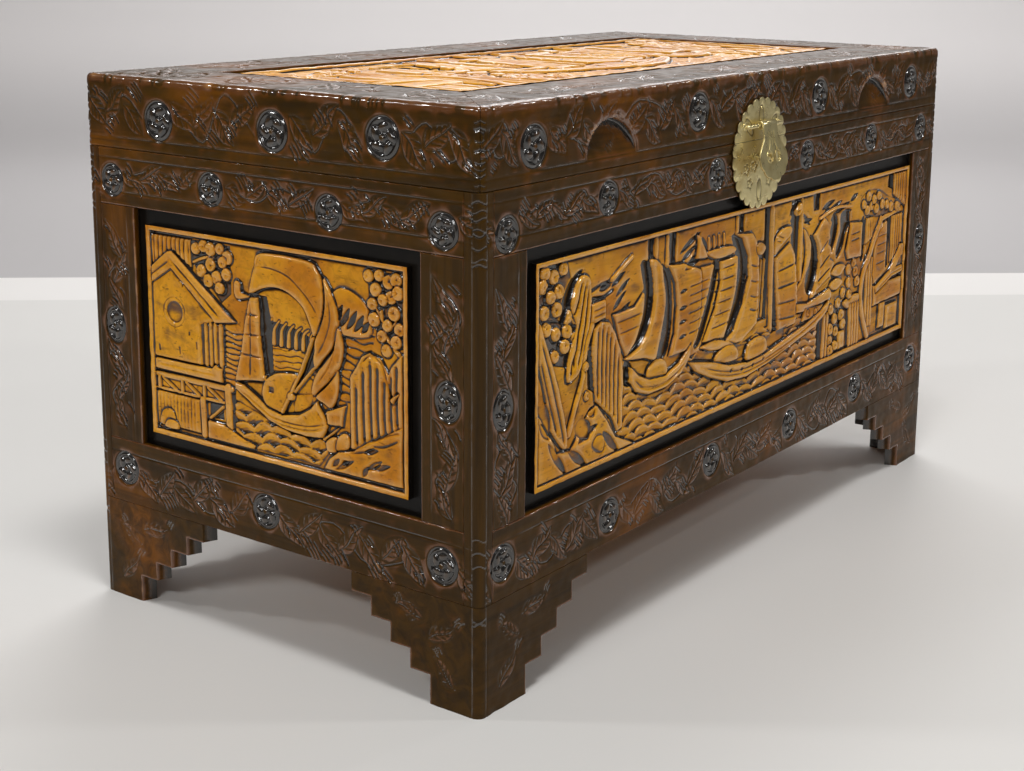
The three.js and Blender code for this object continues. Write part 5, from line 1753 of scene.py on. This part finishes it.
def lock_plates():
    """The engraved round plate, cut in two where the lid meets the case."""
    low, high = box_mm("lock_plate_lower")
    middle = np.array([0.0, low[1] + 0.35, low[2] + PLATE_RADIUS])
    angle = np.linspace(0, 2 * math.pi, 561)[:-1]
    lobes = np.abs(np.sin(PLATE_LOBES / 2 * angle)) ** 0.8
    rim = PLATE_RADIUS - 3.2 * (1 - lobes)
    share = np.concatenate([[0.02], np.linspace(0.05, 0.96, 74), [0.975, 0.988, 0.996, 1.0]])
    r = share[:, None] * rim[None, :]
    a = np.broadcast_to(angle, r.shape)
    edge = np.clip((share[:, None] - 0.96) / 0.04, 0, 1)
    h = plate_height(r, a) - 0.7 * (1 - np.sqrt(1 - edge ** 2))
    crease = np.maximum(0.0, 0.35 - h) * 0.9 - 0.1
    front = np.stack([r * np.cos(a), -h, r * np.sin(a)], axis=-1) + middle
    loop = np.stack([rim * np.cos(angle), 0 * angle, rim * np.sin(angle)], axis=-1) + middle
    loop[:, 1] = high[1]
    cuts = {"lock_plate_upper": (box_mm("lock_plate_upper")[0][2], True, "lid"),
            "lock_plate_lower": (high[2], False, "case")}
    for node, (level, above, body) in cuts.items():
        piece = polar_solid(f"{node}_engraved", front, loop, crease)
        cut_at(piece, level * MM, above)
        finish_piece(piece, BRASS, body, "brass", node)


def add_line(data, points, closed):
    """Adds a line of points, in millimetres, to a curve."""
    spline = data.splines.new("POLY")
    spline.points.add(len(points) - 1)
    spline.use_cyclic_u = closed
    for point, place in zip(spline.points, points):
        point.co = (*(np.array(place) * MM), 1.0)


def wire(name, points, radius, closed=False, resolution=6):
    """A round wire along a smooth line, as a mesh."""
    data = bpy.data.curves.new(name, "CURVE")
    data.dimensions = "3D"
    data.bevel_depth = radius * MM
    data.bevel_resolution = resolution
    data.use_fill_caps = True
    add_line(data, points, closed)
    return curve_to_mesh(name, data)


def flat_plate(name, outlines, half_thick, rounding, resolution, place):
    """An upright plate with rounded edges; the outlines after the first are holes."""
    data = bpy.data.curves.new(name, "CURVE")
    data.dimensions, data.fill_mode = "2D", "BOTH"
    data.extrude, data.bevel_depth = half_thick * MM, rounding * MM
    data.bevel_resolution = resolution
    for outline in outlines:
        add_line(data, [(x, z, 0.0) for x, z in outline], True)
    plate = curve_to_mesh(name, data)
    plate.data.transform(Matrix.Rotation(math.radians(90), 4, "X"))
    plate.data.transform(Matrix.Translation(Vector(place) * MM))
    return plate


def curve_to_mesh(name, data):
    """A smooth mesh object from a curve."""
    source = placed(f"{name}_curve", data)
    bpy.context.view_layer.update()
    evaluated = source.evaluated_get(bpy.context.evaluated_depsgraph_get())
    mesh = bpy.data.meshes.new_from_object(evaluated)
    bpy.data.objects.remove(source)
    mesh.name = name
    for polygon in mesh.polygons:
        polygon.use_smooth = True
    return placed(name, mesh)


def ring_faces(shape, lower, upper):
    """Smooth faces from one ring of points to the next."""
    for k in range(len(lower)):
        j = (k + 1) % len(lower)
        shape.faces.new((lower[k], lower[j], upper[j], upper[k])).smooth = True


def lathe(name, profile, centre, axis, segments=24):
    """A turned solid: profile is (radius, height) pairs from the foot to the tip on the axis."""
    direction = Vector(axis).normalized()
    turn = Vector((0, 0, 1)).rotation_difference(direction).to_matrix()
    shape = bmesh.new()
    rings = []
    for radius, height in profile:
        ring = []
        for k in range(segments):
            a = 2 * math.pi * k / segments
            point = Vector((radius * math.cos(a), radius * math.sin(a), height))
            ring.append(shape.verts.new((turn @ point + Vector(centre)) * MM))
        rings.append(ring)
    for lower, upper in zip(rings[:-1], rings[1:]):
        ring_faces(shape, lower, upper)
    shape.faces.new(rings[0][::-1])
    shape.faces.new(rings[-1])
    return from_bmesh(name, shape)


# Turned profiles, as (radius, height) pairs.
NAIL = [(0.9, -2.0), (0.9, 0.0), (2.1, 0.05), (2.05, 0.5), (1.6, 0.95), (0.9, 1.2), (0.25, 1.3)]
SCREW = [(2.2, -2.0), (2.6, 0.0), (2.75, 0.35), (2.4, 0.65), (0.3, 0.75)]
BAR_FOOT = [(4.6, 0.0), (4.6, 0.6), (3.8, 1.2), (2.5, 1.3)]


def join(name, pieces):
    """One object from several."""
    shape = bmesh.new()
    for piece in pieces:
        shape.from_mesh(piece.data)
        bpy.data.objects.remove(piece)
    return from_bmesh(name, shape)


# Where the nails are, across and up from the middle of the lock plate.
NAIL_PLACES = {
    "upper": ((-44, 31), (44, 31), (0, 51)),
    "lower": ((-46, -28), (46, -28), (0, -52), (-22, -12)),
}


def lock_nails():
    """Round-headed nails through both halves of the lock plate."""
    low = box_mm("lock_plate_lower")[0]
    centre = low[2] + PLATE_RADIUS
    face = low[1] + 0.4
    for half, body in (("upper", "lid"), ("lower", "case")):
        nails = [lathe("nail", NAIL, (x, face, centre + z), (0, -1, 0), 16)
                 for x, z in NAIL_PLACES[half]]
        finish_piece(join(f"lock_nails_{half}", nails), BRASS, body, "brass")


BAR_RADIUS = 2.5  # of the CAD's bar, whose axis the hasp turns on


def bar_axis():
    """The y and z of the bar's axis."""
    low, high = box_mm("hasp_bar")
    return low[1] + BAR_RADIUS, (low[2] + high[2]) / 2


def hasp_bar():
    """A round bar bent back to the plate at both ends, on small feet."""
    high = box_mm("hasp_bar")[1]
    y, z = bar_axis()
    reach, foot, bend = high[0] - BAR_RADIUS, high[1], 2.6
    arc = [(reach - bend + bend * math.sin(a), y + bend - bend * math.cos(a))
           for a in np.linspace(0, math.pi / 2, 6)]
    half = [(x, py, z) for x, py in arc] + [(reach, foot, z)]
    path = [(-x, py, pz) for x, py, pz in reversed(half)] + half
    bar = wire("bar", path, BAR_RADIUS - 0.2)
    feet = [lathe("foot", BAR_FOOT, (side * reach, foot + 0.1, z), (0, -1, 0))
            for side in (-1, 1)]
    finish_piece(join("hasp_bar_bent", [bar] + feet), BRASS, "lid", "brass", "hasp_bar")


def oval(x, z, wide, high, count):
    """Points round an upright oval, from its half width and half height."""
    return [(x + wide * math.cos(a), z + high * math.sin(a))
            for a in np.linspace(0, 2 * math.pi, count + 1)[:-1]]


def hasp_outline(neck, end, length, count=40):
    """Half-widths of the hasp: a straight neck, a flare, and a round end with small lobes."""
    centre, drop = length - end * 0.8, end * 0.8
    right = []
    for t in np.linspace(0, 1, 16):
        ease = smooth(np.array((t - 0.25) / 0.75))
        right.append((neck + (end - neck) * float(ease), -t * centre))
    for a in np.linspace(0, math.pi / 2, count)[1:]:
        lobe = 1.0 - 0.08 * (1 - abs(math.sin(5.5 * a)) ** 0.7) * min(1.0, 3 * a)
        right.append((end * math.cos(a) * lobe, -centre - drop * math.sin(a) * lobe))
    return right + [(-x, z) for x, z in reversed(right[:-1])]


EYE_OUT = 9.0  # how far each hole and loop of the lock is from its middle
EYE_WIDE, EYE_HIGH = 5.0, 5.2
HASP_NECK, HASP_LENGTH, HASP_THICK, HASP_TILT = 15.0, 63.0, 2.2, 10.0
KNUCKLE_RADIUS, KNUCKLE_BORE = 5.0, 3.0
HASP_RIBS = ((-6, -14), (0, 0), (6, 14))  # how far out each rib starts and ends


def hasp():
    """A flat hasp with two holes, hung from the bar by a rolled knuckle and tilted out."""
    pivot = Vector((0.0, *bar_axis()))
    staple_low, staple_high = box_mm("lock_staple")
    eye_z = (staple_low[2] + staple_high[2]) / 2 - pivot[2]
    rim = 0.4
    outlines = [hasp_outline(HASP_NECK, box_mm("hasp")[1][0] - rim, HASP_LENGTH - rim)]
    for side in (-1, 1):
        outlines.append(oval(side * EYE_OUT, eye_z, EYE_WIDE, EYE_HIGH, 28))
    parts = [flat_plate("leaf", outlines, HASP_THICK / 2 - rim, rim, 2,
                        (0, HASP_THICK / 2 - KNUCKLE_RADIUS, 0))]
    face = -KNUCKLE_RADIUS - 0.05
    for x0, x1 in HASP_RIBS:
        path = curve([(x0, -8), (x0 * 0.9, -20), (x1 * 0.7, -28)], per=5)
        parts.append(wire("rib", [(x, face, z) for x, z in path], 0.45, resolution=2))
    for side in (-1, 1):
        path = oval(side * EYE_OUT, eye_z, EYE_WIDE + 1.6, EYE_HIGH + 1.6, 32)
        parts.append(wire("ring", [(x, face, z) for x, z in path], 0.5, True, 2))
    tilted = join("hasp_plate", parts)
    tilted.data.transform(Matrix.Rotation(math.radians(-HASP_TILT), 4, "X"))
    roll = knuckle_tube(2 * HASP_NECK, KNUCKLE_RADIUS, KNUCKLE_BORE)
    whole = join("hasp_flared", [tilted, roll])
    whole.data.transform(Matrix.Translation(pivot * MM))
    finish_piece(whole, BRASS, "hasp", "brass", "hasp")


def knuckle_tube(length, outer, inner, segments=28):
    """A short tube along x, with softened ends."""
    section = [(inner, -length / 2), (outer - 0.5, -length / 2), (outer, -length / 2 + 0.5),
               (outer, length / 2 - 0.5), (outer - 0.5, length / 2), (inner, length / 2)]
    shape = bmesh.new()
    rings = []
    for radius, x in section:
        rings.append([shape.verts.new(Vector((
            x, radius * math.cos(a), radius * math.sin(a))) * MM)
            for a in np.linspace(0, 2 * math.pi, segments + 1)[:-1]])
    for first, second in zip(rings, rings[1:] + rings[:1]):
        ring_faces(shape, first, second)
    bmesh.ops.recalc_face_normals(shape, faces=shape.faces)
    return from_bmesh("tube", shape)


STAPLE_BASE = [(-15.6, 0), (-11, 4.4), (0, 3.2), (11, 4.4), (15.6, 0), (11, -4.4), (0, -3.2),
               (-11, -4.4)]


def staple():
    """Two bright loops on a small base, just behind the hasp's holes."""
    low, high = box_mm("lock_staple")
    z = (low[2] + high[2]) / 2
    loop_radius = 2.0
    parts = []
    for side in (-1, 1):
        x = side * EYE_OUT
        bend = [(x + loop_radius * math.cos(a), low[1] + 3.4 - loop_radius * math.sin(a), z)
                for a in np.linspace(0, math.pi, 9)]
        path = [(x + loop_radius, high[1], z)] + bend + [(x - loop_radius, high[1], z)]
        parts.append(wire("loop", path, 1.3))
    parts.append(flat_plate("plate", [curve(STAPLE_BASE, True, 5)], 0.4, 0.3, 4,
                            (0, high[1] - 0.7, z)))
    finish_piece(join("lock_staple_loops", parts), BRASS, "case", "brass", "lock_staple")


LEAF_THICK = 1.8
SCREW_PLACES = ((0.14, 9), (0.5, 14), (0.86, 9))  # share of the leaf's length, and rise


def hinge_screws():
    """Three slotted screws in each leaf of both hinges."""
    for side in ("left", "right"):
        for body in ("case", "lid"):
            low, high = box_mm(f"hinge_{side}_{body}_leaf")
            face = low[1] + LEAF_THICK
            screws = []
            for share, rise in SCREW_PLACES:
                x = low[0] + (high[0] - low[0]) * share
                z = low[2] + rise if body == "case" else high[2] - rise
                screws.append(lathe("head", SCREW, (x, face, z), (0, 1, 0)))
                slot = [(x - 1.9, face + 0.62, z - 0.6), (x + 1.9, face + 0.62, z + 0.6)]
                screws.append(wire("slot", slot, 0.3, resolution=1))
            finish_piece(join(f"hinge_{side}_{body}_screws", screws), BRASS, body, "brass")


lock_plates()
lock_nails()
hasp_bar()
hasp()
staple()
hinge_screws()


# ---- stage, light and camera -----------------------------------------------
# Metres and degrees: the camera, the edge of the mat under the chest, and the wall behind.
VIEW_AZIMUTH, VIEW_ELEVATION, VIEW_ROLL = -54.41, 11.68, 0.57
CAMERA_PLACE = (-1.6275, -1.1258, 0.7246)
LENS_MM, LENS_SHIFT = 57.64, (-0.0312, -0.1126)
MAT_EDGE, MAT_BEARING, MAT_BORDER = 1.25, 39.7, 0.22
WALL_AT, WALL_BEND = 4.6, 1.4


def build_stage():
    """A pale studio floor that bends up into a wall; past the mat under the chest a lighter band,
    then a wall tone darkened as painted shade near the floor.
    """
    half, near, high = 9.0, -8.0, 6.0
    turn = np.linspace(0, math.pi / 2, 13)
    bend = [(WALL_AT - WALL_BEND + WALL_BEND * math.sin(a), WALL_BEND * (1 - math.cos(a)))
            for a in turn]
    profile = [(near, 0.0)] + bend + [(WALL_AT, high)]
    rotation = Matrix.Rotation(math.radians(VIEW_AZIMUTH), 3, "Z")
    points = [rotation @ Vector((x, y, z)) for y, z in profile for x in (-half, half)]
    faces = [(2 * k, 2 * k + 1, 2 * k + 3, 2 * k + 2) for k in range(len(profile) - 1)]
    mesh = bpy.data.meshes.new("backdrop")
    mesh.from_pydata([tuple(p) for p in points], [], faces)
    for polygon in mesh.polygons:
        polygon.use_smooth = True
    s = Shader("studio_floor")
    away = math.radians(MAT_BEARING)
    reach = s.dot(s.place, (math.cos(away), math.sin(away), 0))
    base = s.mix(s.noise(1.5, 2.0), colour(219, 217, 213), colour(226, 224, 221))
    # A lighter band past the mat's edge.
    border = s.between(reach, MAT_EDGE, MAT_EDGE + 0.01)
    base = s.mix(border, base, colour(236, 233, 230))
    beyond = s.between(reach, MAT_EDGE + MAT_BORDER, MAT_EDGE + MAT_BORDER + 0.004)
    # Painted shade: the wall tone is darkest at floor level and lightens with height, evening out
    # the light that falls on the bend.
    rise = s.dot(s.place, (0, 0, 1))
    wall = s.mix(s.between(rise, 0.0, 0.35), colour(186, 183, 183), colour(220, 216, 215))
    base = s.mix(beyond, base, wall)
    s.surface(Base_Color=base, Roughness=0.65, Specular_IOR_Level=0.3)
    mesh.materials.append(s.material)
    backdrop = placed("backdrop", mesh)


def area_light(name, location, target, size, power):
    """A rectangular lamp aimed at a target; its size is in metres."""
    light = bpy.data.lights.new(name, "AREA")
    light.shape = "RECTANGLE"
    light.size, light.size_y = size
    light.energy = power
    lamp = placed(name, light)
    lamp.location = location
    aim = Vector(target) - Vector(location)
    lamp.rotation_euler = aim.to_track_quat("-Z", "Y").to_euler()


def build_lights():
    """Soft light from above and both sides, small bright lamps for the gloss, and the wall."""
    middle = (0, 0, 0.3)
    area_light("overhead", (-0.8, -0.8, 3.2), middle, (0.6, 0.6), 40)
    area_light("left_back", (-2.2, 2.3, 2.4), middle, (0.3, 0.22), 18)
    area_light("left_strip", (-3.0, -0.6, 2.0), middle, (1.3, 0.1), 29)
    area_light("front_left", (-0.5, -3.0, 3.0), middle, (0.15, 0.12), 7)
    area_light("front", (1.7, -3.0, 2.4), middle, (0.3, 0.2), 22)
    area_light("right", (3.4, -1.3, 3.0), middle, (0.15, 0.12), 7)
    area_light("behind", (2.6, 1.9, 1.35), (0, 0, 0.55), (3.0, 1.2), 14)
    area_light("wall", (3.0, 1.6, 4.4), (3.5, 2.6, 0.0), (3.4, 1.0), 128)
    world = bpy.data.worlds.new("studio")
    bpy.context.scene.world = world
    world.use_nodes = True
    background = world.node_tree.nodes["Background"]
    background.inputs["Color"].default_value = (1.0, 0.985, 0.965, 1.0)
    background.inputs["Strength"].default_value = 0.1
    bpy.context.scene.view_settings.view_transform = "Standard"


def build_camera():
    """The photo's camera."""
    data = bpy.data.cameras.new("camera")
    data.sensor_width, data.lens = 36.0, LENS_MM
    data.shift_x, data.shift_y = LENS_SHIFT
    camera = placed("camera", data)
    azimuth, elevation, roll = (
        math.radians(a) for a in (VIEW_AZIMUTH, VIEW_ELEVATION, VIEW_ROLL))
    back = Vector((math.sin(azimuth) * math.cos(elevation),
                   -math.cos(azimuth) * math.cos(elevation), math.sin(elevation)))
    right = Vector((math.cos(azimuth), math.sin(azimuth), 0))
    up = back.cross(right)
    rolled_right = right * math.cos(roll) + up * math.sin(roll)
    rolled_up = up * math.cos(roll) - right * math.sin(roll)
    rotation = Matrix((rolled_right, rolled_up, back)).transposed()
    camera.matrix_world = Matrix.Translation(CAMERA_PLACE) @ rotation.to_4x4()
    bpy.context.scene.camera = camera


build_stage()
build_lights()
build_camera()
